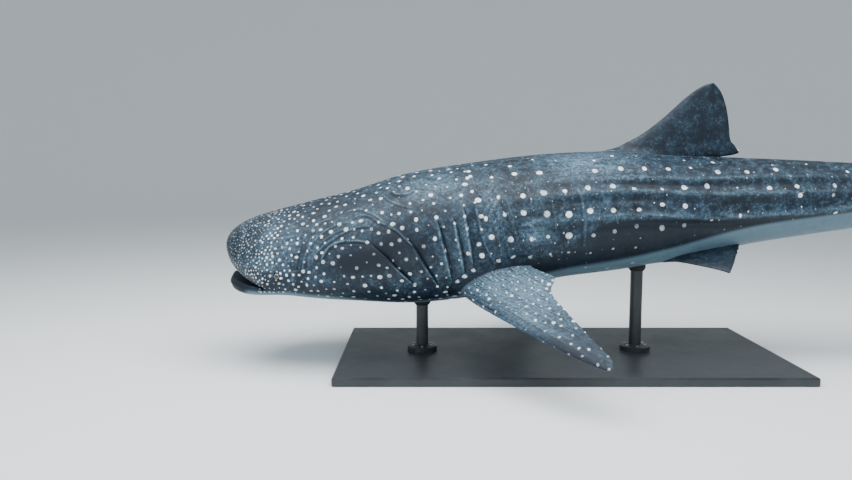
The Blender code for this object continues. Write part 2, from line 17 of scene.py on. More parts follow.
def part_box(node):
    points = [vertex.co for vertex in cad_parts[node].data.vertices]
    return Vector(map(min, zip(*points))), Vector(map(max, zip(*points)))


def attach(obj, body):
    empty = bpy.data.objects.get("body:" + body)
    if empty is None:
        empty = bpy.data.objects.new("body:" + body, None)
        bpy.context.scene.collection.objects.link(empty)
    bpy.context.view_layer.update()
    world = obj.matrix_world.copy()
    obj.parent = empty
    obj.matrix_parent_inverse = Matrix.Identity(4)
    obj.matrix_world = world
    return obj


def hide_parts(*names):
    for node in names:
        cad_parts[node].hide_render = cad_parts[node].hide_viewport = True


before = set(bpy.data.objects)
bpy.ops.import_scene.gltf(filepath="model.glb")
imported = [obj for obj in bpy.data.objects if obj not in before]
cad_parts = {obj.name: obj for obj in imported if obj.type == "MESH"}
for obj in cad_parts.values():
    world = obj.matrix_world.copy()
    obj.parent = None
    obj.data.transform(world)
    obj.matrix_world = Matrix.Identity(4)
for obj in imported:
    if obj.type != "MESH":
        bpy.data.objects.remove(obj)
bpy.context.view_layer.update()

# The camera hangs level with the back of the animal, to the left of its gills, and looks down a little. A
# wide lens, 60 degrees across, gives the strong foreshortening of a picture taken close by.
LOOKS_DOWN_DEGREES = 6
camera = bpy.data.objects.new("camera", bpy.data.cameras.new("camera"))
camera.location = (-0.98, -5.44, 1.46)
camera.rotation_euler = (math.radians(90 - LOOKS_DOWN_DEGREES), 0, 0)
camera.data.lens = 31.18
camera.data.sensor_width = 36
bpy.context.scene.collection.objects.link(camera)
bpy.context.scene.camera = camera

# The body is one moulded skin over the whole animal: a broad flat head, three ridges down each flank, the
# lowest running out into the tail's keel, and five gill flaps that overlap like the tiles of a roof. It is a
# grid of rows from the blind end of the mouth, over the lips and back to the tail, with 480 points a row.
LENGTH = 7.0
SNOUT_END, NECK, GILLS_END, BODY_END = 0.50, 0.98, 1.95, 6.02
# Each row: distance from the snout, top, bottom, half width, height of the widest line
BODY_LINES = np.array((
    (0.50, 0.183, -0.450, 0.475, -0.325),
    (0.70, 0.222, -0.488, 0.505, -0.300),
    (0.95, 0.268, -0.522, 0.535, -0.245),
    (1.35, 0.366, -0.565, 0.570, -0.165),
    (1.75, 0.410, -0.555, 0.560, -0.110),
    (2.40, 0.438, -0.462, 0.510, -0.050),
    (2.90, 0.423, -0.428, 0.445, -0.020),
    (3.45, 0.350, -0.358, 0.362, -0.012),
    (3.85, 0.318, -0.300, 0.310, -0.010),
    (4.25, 0.277, -0.262, 0.262, -0.010),
    (4.65, 0.232, -0.226, 0.214, -0.010),
    (5.05, 0.188, -0.180, 0.166, -0.010),
    (5.40, 0.152, -0.140, 0.125, -0.008),
    (5.62, 0.135, -0.124, 0.095, -0.005),
    (5.85, 0.100, -0.082, 0.058, 0.010),
    (6.02, 0.045, -0.015, 0.024, 0.018),
))
# Each row: distance from the snout, squareness of the section over and under its widest line (2: an ellipse)
SQUARENESS = np.array((
    (0.50, 2.25, 2.70),
    (1.35, 2.15, 2.60),
    (2.40, 2.05, 2.15),
    (4.00, 2.00, 2.05),
    (6.02, 2.00, 2.00),
))
# Ridges, each row: distance from the snout, how far down the flank (0 top, 1 belly), how far it stands out
RIDGES = (
    np.array(((1.9, 0.19, 0), (2.5, 0.20, 0.006), (3.0, 0.21, 0.012), (4.1, 0.20, 0.010), (5.3, 0.20, 0))),
    np.array(((1.9, 0.30, 0), (2.5, 0.31, 0.008), (3.0, 0.32, 0.015), (4.1, 0.40, 0.014), (5.4, 0.38, 0))),
    np.array(((1.90, 0.47, 0), (2.50, 0.50, 0.009), (3.00, 0.515, 0.017), (4.10, 0.635, 0.018),
              (5.00, 0.59, 0.030), (5.50, 0.53, 0.050), (5.80, 0.50, 0.040), (6.02, 0.48, 0))),
)
RIDGE_WIDTH, BACK_RIDGE, BACK_RIDGE_START = 0.030, 0.010, 1.6
# The valley under a ridge: its share of the ridge's height, and where it runs out
VALLEY, VALLEYS_END = 0.4, 4.6
# Gill slits, each row: top end (distance from the snout, height), bottom end
GILL_SLITS = np.array((
    (1.08, -0.05, 1.42, -0.42),
    (1.34, -0.03, 1.56, -0.44),
    (1.55, 0.08, 1.64, -0.40),
    (1.665, 0.08, 1.725, -0.35),
    (1.735, 0.15, 1.785, -0.31),
))
# How far a flap's edge stands out, the height over which it fades away, the length of the first and of the
# last flap, and half the width of a slit
FLAP_STEP, FLAP_FADE, FIRST_FLAP, LAST_FLAP, SLIT_HALF = 0.028, 0.13, 0.30, 0.16, 0.005
# The lips' fronts: distance, height. The mouth's corner: distance, half width, height
LIP_FRONT_UPPER, LIP_FRONT_LOWER, MOUTH_CORNER = (0.080, -0.205), (0.040, -0.275), (0.345, 0.420, -0.360)
LIP_SWELL, LIP_GROOVE, MOUTH_DEPTH, PALATE, MOUTH_FLOOR = 0.012, 0.006, 0.40, 0.050, 0.040
# Points in a row, and rows of the mouth, the snout, the cheek and the trunk
COLUMNS = 480
MOUTH_ROWS, SNOUT_ROWS, CHEEK_ROWS, TRUNK_ROWS = 36, 120, 82, 400
# Folds of loose skin, each: half width, height, how pale (and how much painted shade under it), and its
# course as (distance from the snout, height)
FOLDS = (
    (0.01, 0.003, 0.8, ((0.685, -0.216), (0.72, -0.133), (0.835, -0.044), (1.01, 0.031), (1.151, 0.031))),
    (0.01, 0.006, 0.95, ((0.754, -0.194), (0.795, -0.113), (0.872, -0.063), (0.99, -0.055), (1.12, -0.075))),
    (0.011, 0.004, 0.9, ((0.954, 0.062), (1.023, 0.105), (1.098, 0.102), (1.158, 0.065), (1.23, 0.03))),
    (0.01, 0.003, 0.8, ((0.91, 0.12), (0.985, 0.145), (1.06, 0.14), (1.153, 0.094), (1.215, 0.045))),
    (0.009, 0.003, 0.6, ((1.171, 0.255), (1.223, 0.207), (1.272, 0.181), (1.332, 0.155), (1.428, 0.133))),
    (0.012, 0.006, 0.7, ((1.25, 0.258), (1.285, 0.236), (1.347, 0.232), (1.42, 0.25))),
    (0.009, 0.003, 0.7, ((1.273, 0.282), (1.398, 0.272), (1.52, 0.256), (1.59, 0.223), (1.676, 0.16))),
    (0.009, 0.002, 0.55, ((0.62, -0.255), (0.655, -0.13), (0.74, -0.02), (0.86, 0.05), (0.98, 0.07))),
    (0.009, 0.002, 0.55, ((0.58, -0.25), (0.6, -0.12), (0.66, -0.01), (0.76, 0.075), (0.9, 0.11))),
    (0.009, 0.002, 0.45, ((0.66, -0.25), (0.69, -0.15), (0.77, -0.055), (0.88, 0.01), (1.0, 0.05))),
    (0.01, 0.004, 0.6, ((1.215, 0.035), (1.29, -0.01), (1.345, -0.07), (1.4, -0.12))),
    (0.01, 0.004, 0.6, ((1.859, 0.296), (1.94, 0.236), (2.006, 0.137), (2.055, -0.01), (2.098, -0.185))),
    (0.01, 0.004, 0.6, ((1.789, 0.276), (1.862, 0.192), (1.909, 0.079), (1.955, -0.084), (1.985, -0.253))),
    (0.01, 0.005, 0.7, ((1.815, 0.136), (1.835, 0.006), (1.875, -0.16), (1.95, -0.293))),
    (0.009, 0.003, 0.45, ((2.004, 0.216), (2.047, 0.086), (2.077, -0.076))),
    (0.009, 0.003, 0.4, ((2.163, 0.286), (2.189, 0.173), (2.199, 0.045))),
    (0.01, 0.002, 0.9, ((2.51, 0.233), (2.536, 0.119), (2.545, -0.027), (2.542, -0.215))),
    (0.009, 0.003, 0.45, ((1.953, 0.315), (2.053, 0.277), (2.126, 0.208))),
    (0.009, 0.003, 0.4, ((1.905, 0.18), (1.96, 0.06), (2.0, -0.08), (2.03, -0.22))),
    (0.009, 0.002, 0.35, ((2.29, 0.26), (2.33, 0.13), (2.345, -0.03), (2.34, -0.18))),
)
FOLD_POINTS, PALE_LINE = 90, 0.006
EYE_RADIUS, EYE_SUNK = 0.024, 0.010
# Eye and spiracle: how far back, and the angle up from the widest line. Nostril: share of the snout, angle
EYE_PLACE, SPIRACLE_PLACE = (0.395, math.radians(6)), (0.60, math.radians(8))
NOSTRIL_PLACE = (0.10, math.radians(50))
# Their hollows: radius, depth, height of the rim
EYE_SOCKET, SPIRACLE, NOSTRIL = (0.019, 0.020, 0.004), (0.012, 0.014, 0.002), (0.014, 0.014, 0.002)


def hermite(t, start, leave, end, arrive):
    """A curve from start to end with the slopes leave and arrive."""
    rise = 3 * t**2 - 2 * t**3
    return (1 - rise) * start + (t**3 - 2 * t**2 + t) * leave + rise * end + (t**3 - t**2) * arrive


def line(table, column, x):
    """A smooth line through one column of a table, read at many distances."""
    places, values = table[:, 0], table[:, column]
    last = len(places) - 1
    before, after = np.arange(-1, last).clip(0), np.arange(1, last + 2).clip(0, last)
    slopes = (values[after] - values[before]) / (places[after] - places[before])
    x = np.clip(x, places[0], places[-1])
    i = np.clip(np.searchsorted(places, x, side="right") - 1, 0, last - 1)
    span = places[i + 1] - places[i]
    return hermite((x - places[i]) / span, values[i], span * slopes[i], values[i + 1], span * slopes[i + 1])


def ease(t):
    """0 to 1 with soft ends."""
    t = np.clip(t, 0.0, 1.0)
    return t * t * (3 - 2 * t)


def bell(t):
    """1 at 0, and nearly nothing past 2."""
    return np.exp(-t * t)


def power(value, exponent):
    """A power that keeps the sign, for superellipses."""
    return np.sign(value) * np.abs(value) ** exponent


def squareness(x, upper):
    """How square the section is at x, over or under its widest line."""
    return np.where(upper, line(SQUARENESS, 1, x), line(SQUARENESS, 2, x))


def shell(x, angle, out=0.0):
    """Points of the body's plain surface, pushed out by out."""
    top, bottom, half, middle = (line(BODY_LINES, column, x) for column in range(1, 5))
    upper = np.sin(angle) >= 0
    n = squareness(x, upper)
    reach = np.where(upper, top - middle, middle - bottom)
    y = -half * power(np.cos(angle), 2 / n)
    z = middle + reach * power(np.sin(angle), 2 / n)
    out_y, out_z = y / half**2, (z - middle) / reach**2
    scale = np.hypot(out_y, out_z)
    return np.stack((x + 0 * y, y + out * out_y / scale, z + out * out_z / scale), -1)


def ridge_angle(ridge, x):
    """Where round the section a ridge runs: 0 at the widest line, a quarter turn at the top."""
    top, bottom, middle = (line(BODY_LINES, column, x) for column in (1, 2, 4))
    height = top - line(ridge, 1, x) * (top - bottom)
    above = np.arcsin(np.clip((height - middle) / (top - middle), -0.97, 0.97))
    below = np.arcsin(np.clip((height - middle) / (middle - bottom), -0.97, 0.97))
    return np.where(height > middle, above, below)


def from_ridge(ridge, x, angle):
    """How many ridge widths a point lies above the crest of a ridge."""
    top, bottom = line(BODY_LINES, 1, x), line(BODY_LINES, 2, x)
    folded = np.arctan2(np.sin(angle), np.abs(np.cos(angle)))
    crest = ridge_angle(ridge, x) if ridge is not None else math.pi / 2
    return (folded - crest) * (top - bottom) / 2 / RIDGE_WIDTH


def ridge_relief(x, angle):
    """Height of the ridges, each with a shallow valley under it, and the low ridge along the back."""
    out = BACK_RIDGE * ease((x - BACK_RIDGE_START) / 0.8) * ease((BODY_END - x) / 0.6)
    out = out * bell(from_ridge(None, x, angle))
    for ridge in RIDGES:
        away = from_ridge(ridge, x, angle)
        valley = VALLEY * bell((away + 1.9) / 0.8) * ease((VALLEYS_END - x) / 0.8)
        out = out + line(ridge, 2, x) * (bell(away) - valley)
    return out


def slit_x(slit, z):
    """How far back a gill slit lies at the height z."""
    x_top, z_top, x_bottom, z_bottom = slit[..., 0], slit[..., 1], slit[..., 2], slit[..., 3]
    share = (z_top - z) / (z_top - z_bottom)
    return x_top + (x_bottom - x_top) * np.clip(share, -0.15, 1.15)


def slit_fade(slit, z):
    """1 along a gill slit, fading to 0 at its two ends."""
    return ease((slit[..., 1] - z) / FLAP_FADE) * ease((z - slit[..., 3]) / FLAP_FADE)


def flap_rise(x, z):
    """Height of the gill flaps in steps: each rises to its rear edge, and the next starts low behind it."""
    fades = [slit_fade(slit, z) for slit in GILL_SLITS]
    edges = [slit_x(slit, z) for slit in GILL_SLITS]
    share = np.clip((x - edges[0] + FIRST_FLAP) / FIRST_FLAP, 0, 1)
    rise = 0.5 * fades[0] * share**2
    for k in range(1, len(edges)):
        share = np.clip((x - edges[k - 1]) / (edges[k] - edges[k - 1]), 0, 1)
        between = 0.5 * (fades[k] * share**1.5 - fades[k - 1] * (1 - share) ** 1.5)
        rise = np.where(x > edges[k - 1], between, rise)
    return np.where(x > edges[-1], -0.5 * fades[-1] * (1 - ease((x - edges[-1]) / LAST_FLAP)), rise)


def mouth_middle(y):
    """Height of the line between the lips."""
    front = (LIP_FRONT_UPPER[1] + LIP_FRONT_LOWER[1]) / 2
    return front + (MOUTH_CORNER[2] - front) * np.minimum(1.0, np.abs(y) / MOUTH_CORNER[1]) ** 1.6


def lip(angle):
    """The mouth's rim: the upper lip for angles over 0, the lower one under it."""
    y = -MOUTH_CORNER[1] * np.cos(angle)
    front = np.where(np.sin(angle) >= 0, LIP_FRONT_UPPER[0], LIP_FRONT_LOWER[0])
    x = front + (MOUTH_CORNER[0] - front) * np.abs(np.cos(angle)) ** 2.6
    gape = (LIP_FRONT_UPPER[1] - LIP_FRONT_LOWER[1]) / 2
    return np.stack((x, y, mouth_middle(y) + gape * np.sin(angle) * np.abs(np.sin(angle))), -1)


def snout(t, angle):
    """The front of the head, from the rim of the mouth (t = 0) to the first full section (t = 1)."""
    t, angle = np.broadcast_arrays(t, angle)
    rise, side = np.sin(angle), -np.cos(angle)
    # How far and which way the surface leaves the upper lip, and the lower one
    up = (-0.74 * rise, 0.16 * side, 0.85 * rise)
    down = (0.30 * rise, 0.16 * side, 0.46 * rise)
    leave = np.stack([np.where(rise >= 0, a, b) for a, b in zip(up, down)], -1)
    end, step = shell(SNOUT_END + 0 * t, angle), 0.02
    slope = (shell(SNOUT_END + step + 0 * t, angle) - end) / step * (0.25 + 0.32 * np.abs(rise))[..., None]
    point = hermite(t[..., None], lip(angle), leave, end, slope)
    roll = LIP_SWELL * bell((t - 0.06) / 0.05) * np.minimum(1.0, t / 0.03)
    roll = roll - LIP_GROOVE * bell((t - 0.15) / 0.025)
    size = np.maximum(np.linalg.norm(leave, axis=-1, keepdims=True), 1e-6)
    return point + (roll * np.abs(rise))[..., None] * leave / size


def mouth(t, angle):
    """The inside of the mouth, from its rim (t = 0) to its blind end (t = 1)."""
    rim = lip(angle)
    half_open = np.abs(rim[..., 2] - mouth_middle(rim[..., 1]))
    y = rim[..., 1] * (1 - 0.30 * t)
    x = rim[..., 0] + (MOUTH_DEPTH - rim[..., 0]) * t
    vault = np.where(np.sin(angle) >= 0, PALATE, MOUTH_FLOOR) * np.sin(math.pi * t * 0.9)
    half_open = half_open * (1 - 0.6 * t) + vault * np.abs(np.sin(angle)) ** 0.7
    return np.stack((x, y, mouth_middle(y) + np.sign(np.sin(angle)) * half_open), -1)


def even_angles(x):
    """Angles that lie evenly round the sections at x."""
    turn = math.pi / 2 - 2 * math.pi * np.arange(COLUMNS) / COLUMNS + 0 * x
    n = squareness(x, np.sin(turn) >= 0)
    return np.arctan2(power(np.sin(turn), n / 2), power(np.cos(turn), n / 2))


def gill_rows():
    """Rows that follow the gill slits. At each slit they fold over the flap's thin edge and into the slit."""
    # The neck, both sides of each slit and the end of the gills, each with its shift off the slit's line
    neck = (NECK, 1.0, NECK, 0.0)
    end = (GILLS_END, 1.0, GILLS_END, 0.0)
    marks = [(*neck, 0.0)]
    for slit in GILL_SLITS:
        marks += [(*slit, -SLIT_HALF), (*slit, SLIT_HALF)]
    marks += [(*end, 0.0)]
    # Rows from one mark to the next, on the flaps; between the two sides of a slit they are the fold's
    counts = {0: 60, 2: 42, 4: 32, 6: 18, 8: 12, 10: 30}
    # The fold: how far behind the slit's middle each row lies, and how high it stands in flap steps
    fold = ((-0.004, 0.52), (0.004, 0.54), (0.010, 0.46), (0.010, 0.28), (0.001, 0.08), (-0.006, -0.35),
            (-0.005, -0.85), (0.002, -0.95), (0.009, -0.72))
    low, high, share, fold_x, fold_rise = [], [], [], [], []
    for i in range(len(marks) - 1):
        steps = counts.get(i, len(fold))
        for k in range(steps):
            low.append(marks[i])
            high.append(marks[i + 1])
            is_fold = i not in counts
            share.append((k + 0.5) / steps if is_fold else k / steps)
            fold_x.append(fold[k][0] if is_fold else np.nan)
            fold_rise.append(fold[k][1] if is_fold else 0.0)
    low, high = np.array(low)[:, None, :], np.array(high)[:, None, :]
    share, fold_x, fold_rise = (np.array(values)[:, None] for values in (share, fold_x, fold_rise))
    x = slit_x(low, 0.0) * (1 - share) + slit_x(high, 0.0) * share + np.zeros((1, COLUMNS))
    for _ in range(4):
        z = shell(x, even_angles(x))[..., 2]
        start, stop = slit_x(low, z) + low[..., 4], slit_x(high, z) + high[..., 4]
        x = start + (stop - start) * share
    rise = flap_rise(x, z)
    fade = slit_fade(low, z)
    is_fold = ~np.isnan(fold_x)
    shift = np.where(is_fold, (np.nan_to_num(fold_x) - SLIT_HALF * (2 * share - 1)) * fade, 0.0)
    rise = np.where(is_fold, fold_rise * fade, rise)
    return x, shift, rise


def side_angle(x, z):
    """Where round the section a height lies, on the left flank."""
    top, bottom, middle = (line(BODY_LINES, column, x) for column in (1, 2, 4))
    upper = z > middle
    n = squareness(x, upper)
    reach = np.where(upper, top - middle, middle - bottom)
    return np.sign(z - middle) * np.arcsin(np.clip(np.abs(z - middle) / reach, 0, 0.999) ** (n / 2))


def fold_layers(points):
    """Height, paleness and painted shade under them that the folds give to the plain surface, the same on
    both flanks.
    """
    flat = points.reshape(-1, 3).copy()
    flat[:, 1] = -np.abs(flat[:, 1])
    height, pale, dark = np.zeros((3, len(flat)))
    for width, rise, strength, course in FOLDS:
        table = np.column_stack((np.arange(len(course)), course))
        at = np.linspace(0, len(course) - 1, FOLD_POINTS)
        x, z = line(table, 1, at), line(table, 2, at)
        crest = shell(x, side_angle(x, z))
        low, high = crest.min(0) - 4 * width, crest.max(0) + 4 * width
        near = np.flatnonzero(((flat > low) & (flat < high)).all(1))
        away = np.linalg.norm(flat[near, None] - crest[None], axis=2)
        nearest = away.argmin(1)
        away = away.min(1)
        along = np.gradient(crest, axis=0)[nearest]
        offset = flat[near] - crest[nearest]
        above = away * np.sign(along[:, 0] * offset[:, 2] - along[:, 2] * offset[:, 0])
        share = nearest / (FOLD_POINTS - 1)
        fade = ease(share / 0.15) * ease((1 - share) / 0.15)
        valley = 0.9 * bell((above + 1.5 * width) / (0.7 * width))
        height[near] += rise * fade * (bell(above / width) - valley)
        pale[near] = np.maximum(pale[near], strength * fade * bell((above - 0.2 * width) / PALE_LINE))
        dark[near] = np.maximum(dark[near], 0.6 * strength * fade * bell((above + 1.4 * width) / width))
    return (values.reshape(points.shape[:-1]) for values in (height, pale, dark))


def sink(points, centre, inward, radius, depth, rim):
    """Presses a round hollow into both sides of the head, with a low rim round it."""
    for side in (1, -1):
        flip = np.array((1, side, 1))
        away = np.linalg.norm(points - centre * flip, axis=-1)
        hollow = ease((1.25 * radius - away) / (0.5 * radius))
        ring = bell((away - 1.5 * radius) / (0.4 * radius))
        push = depth * hollow - rim * ring
        points = points + push[..., None] * np.array(inward) * flip
    return points


def body_grid():
    """Points of the whole skin in rows, with their angles, their depth in the mouth, and the folds' pale
    lines and painted shade.
    """
    head_angles = even_angles(np.full((1, 1), SNOUT_END))
    inside = np.linspace(1.0, 0.03, MOUTH_ROWS)[:, None]
    front = np.linspace(0.0, 1.0, SNOUT_ROWS)[:-1, None] ** 1.15
    mouth_points = mouth(inside, head_angles)
    snout_points = snout(front, head_angles)
    cheek = np.linspace(SNOUT_END, NECK, CHEEK_ROWS)[:-1, None] + np.zeros((1, COLUMNS))
    gill_x, shift, rise = gill_rows()
    trunk = np.linspace(GILLS_END, BODY_END, TRUNK_ROWS)[:, None] + np.zeros((1, COLUMNS))
    x = np.concatenate((cheek, gill_x, trunk))
    angle = even_angles(x)
    z = shell(x, angle)[..., 2]
    flaps = np.concatenate((flap_rise(cheek, z[: len(cheek)]), rise, flap_rise(trunk, z[-len(trunk):])))
    fold_height, fold_pale, fold_shade = fold_layers(shell(x, angle))
    out = FLAP_STEP * flaps + ridge_relief(x, angle) + fold_height
    points = shell(x, angle, out)
    points[len(cheek):-len(trunk), :, 0] += shift
    head_rows = len(inside) + len(front)
    rows = np.concatenate((mouth_points, snout_points, points))
    rows = sink(rows, snout(EYE_PLACE[0] / SNOUT_END, EYE_PLACE[1]), (0, 1, 0), *EYE_SOCKET)
    rows = sink(rows, shell(*SPIRACLE_PLACE), (0, 1, 0), *SPIRACLE)
    rows = sink(rows, snout(*NOSTRIL_PLACE), (0.8, 0.1, 0.6), *NOSTRIL)
    angles = np.concatenate((head_angles.repeat(head_rows, 0), angle))
    depth, pale, dark = np.zeros((3, *rows.shape[:2]))
    depth[: len(inside)] = inside
    pale[head_rows:], dark[head_rows:] = fold_pale, fold_shade
    return rows, angles, depth, pale, dark


def grid_faces(rows, columns):
    """Quads of a closed tube of rows, with a fan of triangles at each end."""
    at = np.arange(rows * columns).reshape(rows, columns)
    quads = np.stack((at[:-1], np.roll(at, -1, 1)[:-1], np.roll(at, -1, 1)[1:], at[1:]), -1).reshape(-1, 4)
    faces = quads.tolist()
    first, last = rows * columns, rows * columns + 1
    for i in range(columns):
        faces.append((first, int(at[0, (i + 1) % columns]), int(at[0, i])))
        faces.append((last, int(at[-1, i]), int(at[-1, (i + 1) % columns])))
    return faces


def close_ends(rows):
    """All points of a tube as one list, with the middle of each end added."""
    return np.concatenate((rows.reshape(-1, rows.shape[-1]), rows[:1].mean(1), rows[-1:].mean(1)))


body_rows, body_angles, mouth_depth, fold_pale, fold_shade = body_grid()
body_points = close_ends(body_rows)
body_faces = grid_faces(*body_rows.shape[:2])

# The fins are stiff plates, covered with the same skin, thick and round at the front edge and thin behind.
# Each is a loft through levels from root to tip, and where a fin other than the tail's meets the body both
# of them flare.
# Levels of a middle fin: front and back as (along, up), and its thickness
BACK_FIN = np.array((
    (-0.10, -0.12, 0.66, -0.20, 0.105),
    (0.03, -0.004, 0.70, -0.088, 0.098),
    (0.13, 0.038, 1.00, -0.064, 0.086),
    (0.29, 0.112, 0.948, 0.030, 0.072),
    (0.425, 0.200, 0.938, 0.128, 0.060),
    (0.525, 0.278, 0.930, 0.215, 0.048),
    (0.61, 0.348, 0.915, 0.298, 0.037),
    (0.70, 0.410, 0.888, 0.378, 0.027),
    (0.77, 0.443, 0.857, 0.426, 0.019),
    (0.815, 0.453, 0.835, 0.449, 0.012),
))
UPPER_LOBE = np.array((
    (5.50, -0.020, 6.110, -0.020, 0.060),
    (5.53, 0.100, 6.135, 0.060, 0.062),
    (5.64, 0.175, 6.185, 0.125, 0.060),
    (5.82, 0.300, 6.275, 0.220, 0.056),
    (6.03, 0.485, 6.400, 0.375, 0.050),
    (6.28, 0.715, 6.560, 0.580, 0.042),
    (6.53, 0.930, 6.735, 0.800, 0.034),
    (6.76, 1.110, 6.880, 1.010, 0.026),
    (6.91, 1.210, 6.965, 1.155, 0.018),
    (6.98, 1.252, 7.000, 1.240, 0.011),
))
LOWER_LOBE = np.array((
    (5.50, 0.050, 6.105, 0.050, 0.058),
    (5.55, -0.100, 6.112, -0.045, 0.060),
    (5.64, -0.220, 6.100, -0.165, 0.056),
    (5.76, -0.375, 6.105, -0.310, 0.048),
    (5.88, -0.535, 6.130, -0.470, 0.038),
    (6.00, -0.675, 6.160, -0.625, 0.028),
    (6.09, -0.765, 6.185, -0.740, 0.019),
    (6.15, -0.805, 6.190, -0.802, 0.011),
))
# A paired fin: root and tip of its front edge, the way its chord runs, how far it bows up and forwards. Its
# levels: share of its span, chord, thickness
PECTORAL = ((1.70, -0.420, -0.470), (2.43, -1.450, -0.768), (0.60, -0.20, 0.125), (0.012, 0.055))
PECTORAL_LEVELS = np.array((
    (-0.22, 0.60, 0.260),
    (-0.04, 0.62, 0.190),
    (0.06, 0.62, 0.135),
    (0.16, 0.525, 0.100),
    (0.26, 0.457, 0.078),
    (0.40, 0.395, 0.062),
    (0.55, 0.325, 0.048),
    (0.70, 0.260, 0.036),
    (0.84, 0.192, 0.026),
    (0.94, 0.122, 0.019),
    (1.00, 0.040, 0.012),
))
PELVIC = ((3.20, -0.190, -0.365), (3.52, -0.450, -0.435), (0.93, 0.20, 0.20), (0.015, 0.010))
PELVIC_LEVELS = np.array((
    (-0.25, 0.24, 0.055),
    (0.05, 0.32, 0.050),
    (0.22, 0.45, 0.044),
    (0.42, 0.38, 0.036),
    (0.62, 0.26, 0.028),
    (0.80, 0.155, 0.021),
    (0.93, 0.07, 0.015),
    (1.00, 0.02, 0.010),
))
# Where the middle fins stand, and the size of the two smaller ones against the first
FIRST_FIN_AT, SECOND_FIN_AT, ANAL_FIN_AT = 2.79, 4.70, 4.80
SECOND_FIN_SIZE, ANAL_FIN_SIZE = 0.48, 0.43
TRAILING_EDGE, FILLET, FLARE, FLARE_END = 0.006, 0.016, 0.016, 5.6


def fin_levels(table, scale=1.0, up=1.0, start=(0.0, 0.0), count=90):
    """Fine levels of a middle fin: front, back, the direction across it, and its thickness."""
    numbered = np.column_stack((np.arange(len(table)), table))
    at = np.linspace(0, len(table) - 1, count)
    front_x, front_z, back_x, back_z, thickness = (line(numbered, column, at) for column in range(1, 6))
    flat = np.zeros(count)
    front = np.stack((start[0] + front_x * scale, flat, start[1] + front_z * scale * up), -1)
    back = np.stack((start[0] + back_x * scale, flat, start[1] + back_z * scale * up), -1)
    return front, back, np.array((0.0, 1.0, 0.0)), thickness * scale


def paired_levels(place, table, side, count):
    """Fine levels of a fin that grows out of one flank; side is 1 on the left and -1 on the right."""
    flip = np.array((1.0, side, 1.0))
    root, tip, chord, bow = (np.array(value) for value in place)
    chord = chord / np.linalg.norm(chord)
    across = np.cross(tip - root, chord)
    across *= np.sign(across[2]) / np.linalg.norm(across)
    at = np.linspace(table[0, 0], 1.0, count)
    length, thickness = line(table, 1, at), line(table, 2, at)
    arch = (1 - (2 * np.maximum(0.0, at) - 1) ** 4)[:, None]
    front = root + (tip - root) * at[:, None] + across * bow[0] * arch - chord * bow[1] * arch
    return front * flip, (front + chord * length[:, None]) * flip, across * flip, thickness


def fin_rows(front, back, across, thickness, steps=40):
    """Rows of points round a fin's section, level by level, ending in a rounded tip."""
    share = (1 - np.cos(np.linspace(0, math.pi, steps))) / 2
    # Half thickness of a common aerofoil, for a chord and a thickness of 1
    curve = 0.2969 * share**0.5 - 0.126 * share - 0.3516 * share**2 + 0.2843 * share**3 - 0.1015 * share**4
    share = np.concatenate((share, share[-2:0:-1]))
    curve = np.concatenate((curve, curve[-2:0:-1]))
    sign = np.concatenate((np.ones(steps), -np.ones(steps - 2)))
    edge = np.minimum(TRAILING_EDGE, 0.3 * thickness)[:, None] / 2 * share
    half = 5 * thickness[:, None] * curve + edge * np.sin(np.minimum(1, (1 - share) / 0.03) * math.pi / 2)
    chord = back - front
    rows = front[:, None] + chord[:, None] * share[:, None] + across * (sign * half)[..., None]
    # Two smaller sections round the tip off
    for shrink, beyond in ((0.82, 0.002), (0.5, 0.0035)):
        middle = rows[-1].mean(0)
        ahead = front[-1] - front[-4]
        rows = np.concatenate((rows, (middle + (rows[-1] - middle) * shrink
                                      + ahead / np.linalg.norm(ahead) * beyond)[None]))
    return rows


def body_top(x, column=1):
    """Height of the back at x, or of the belly with column 2."""
    return float(line(BODY_LINES, column, np.array(x)))


fins = {
    "dorsal_fin_first": fin_rows(*fin_levels(BACK_FIN, start=(FIRST_FIN_AT, body_top(FIRST_FIN_AT)))),
    "dorsal_fin_second": fin_rows(
        *fin_levels(BACK_FIN, SECOND_FIN_SIZE, 1.0, (SECOND_FIN_AT, body_top(SECOND_FIN_AT)), 60), 28
    ),
    "anal_fin": fin_rows(
        *fin_levels(BACK_FIN, ANAL_FIN_SIZE, -1.0, (ANAL_FIN_AT, body_top(ANAL_FIN_AT, 2)), 60), 28
    ),
    "caudal_fin_upper": fin_rows(*fin_levels(UPPER_LOBE, count=130)),
    "caudal_fin_lower": fin_rows(*fin_levels(LOWER_LOBE, count=90)),
}
for side_name, side in (("left", 1), ("right", -1)):
    fins[f"pectoral_fin_{side_name}"] = fin_rows(*paired_levels(PECTORAL, PECTORAL_LEVELS, side, 130), 48)
    fins[f"pelvic_fin_{side_name}"] = fin_rows(*paired_levels(PELVIC, PELVIC_LEVELS, side, 70), 30)


def vertex_normals(points, faces):
    """Normals of a closed mesh's points, facing out."""
    mesh = bpy.data.meshes.new("for_normals")
    mesh.from_pydata(points.tolist(), [], faces)
    bm = bmesh.new()
    bm.from_mesh(mesh)
    bmesh.ops.recalc_face_normals(bm, faces=bm.faces)
    bm.normal_update()
    normals = np.array([vert.normal for vert in bm.verts])
    bm.to_mesh(mesh)
    corners = [tuple(face.vertices) for face in mesh.polygons]
    bm.free()
    bpy.data.meshes.remove(mesh)
    return normals, corners


def distance(tree, points):
    """Distance of each point from a surface."""
    return np.array([tree.find_nearest(Vector(point))[3] for point in points])


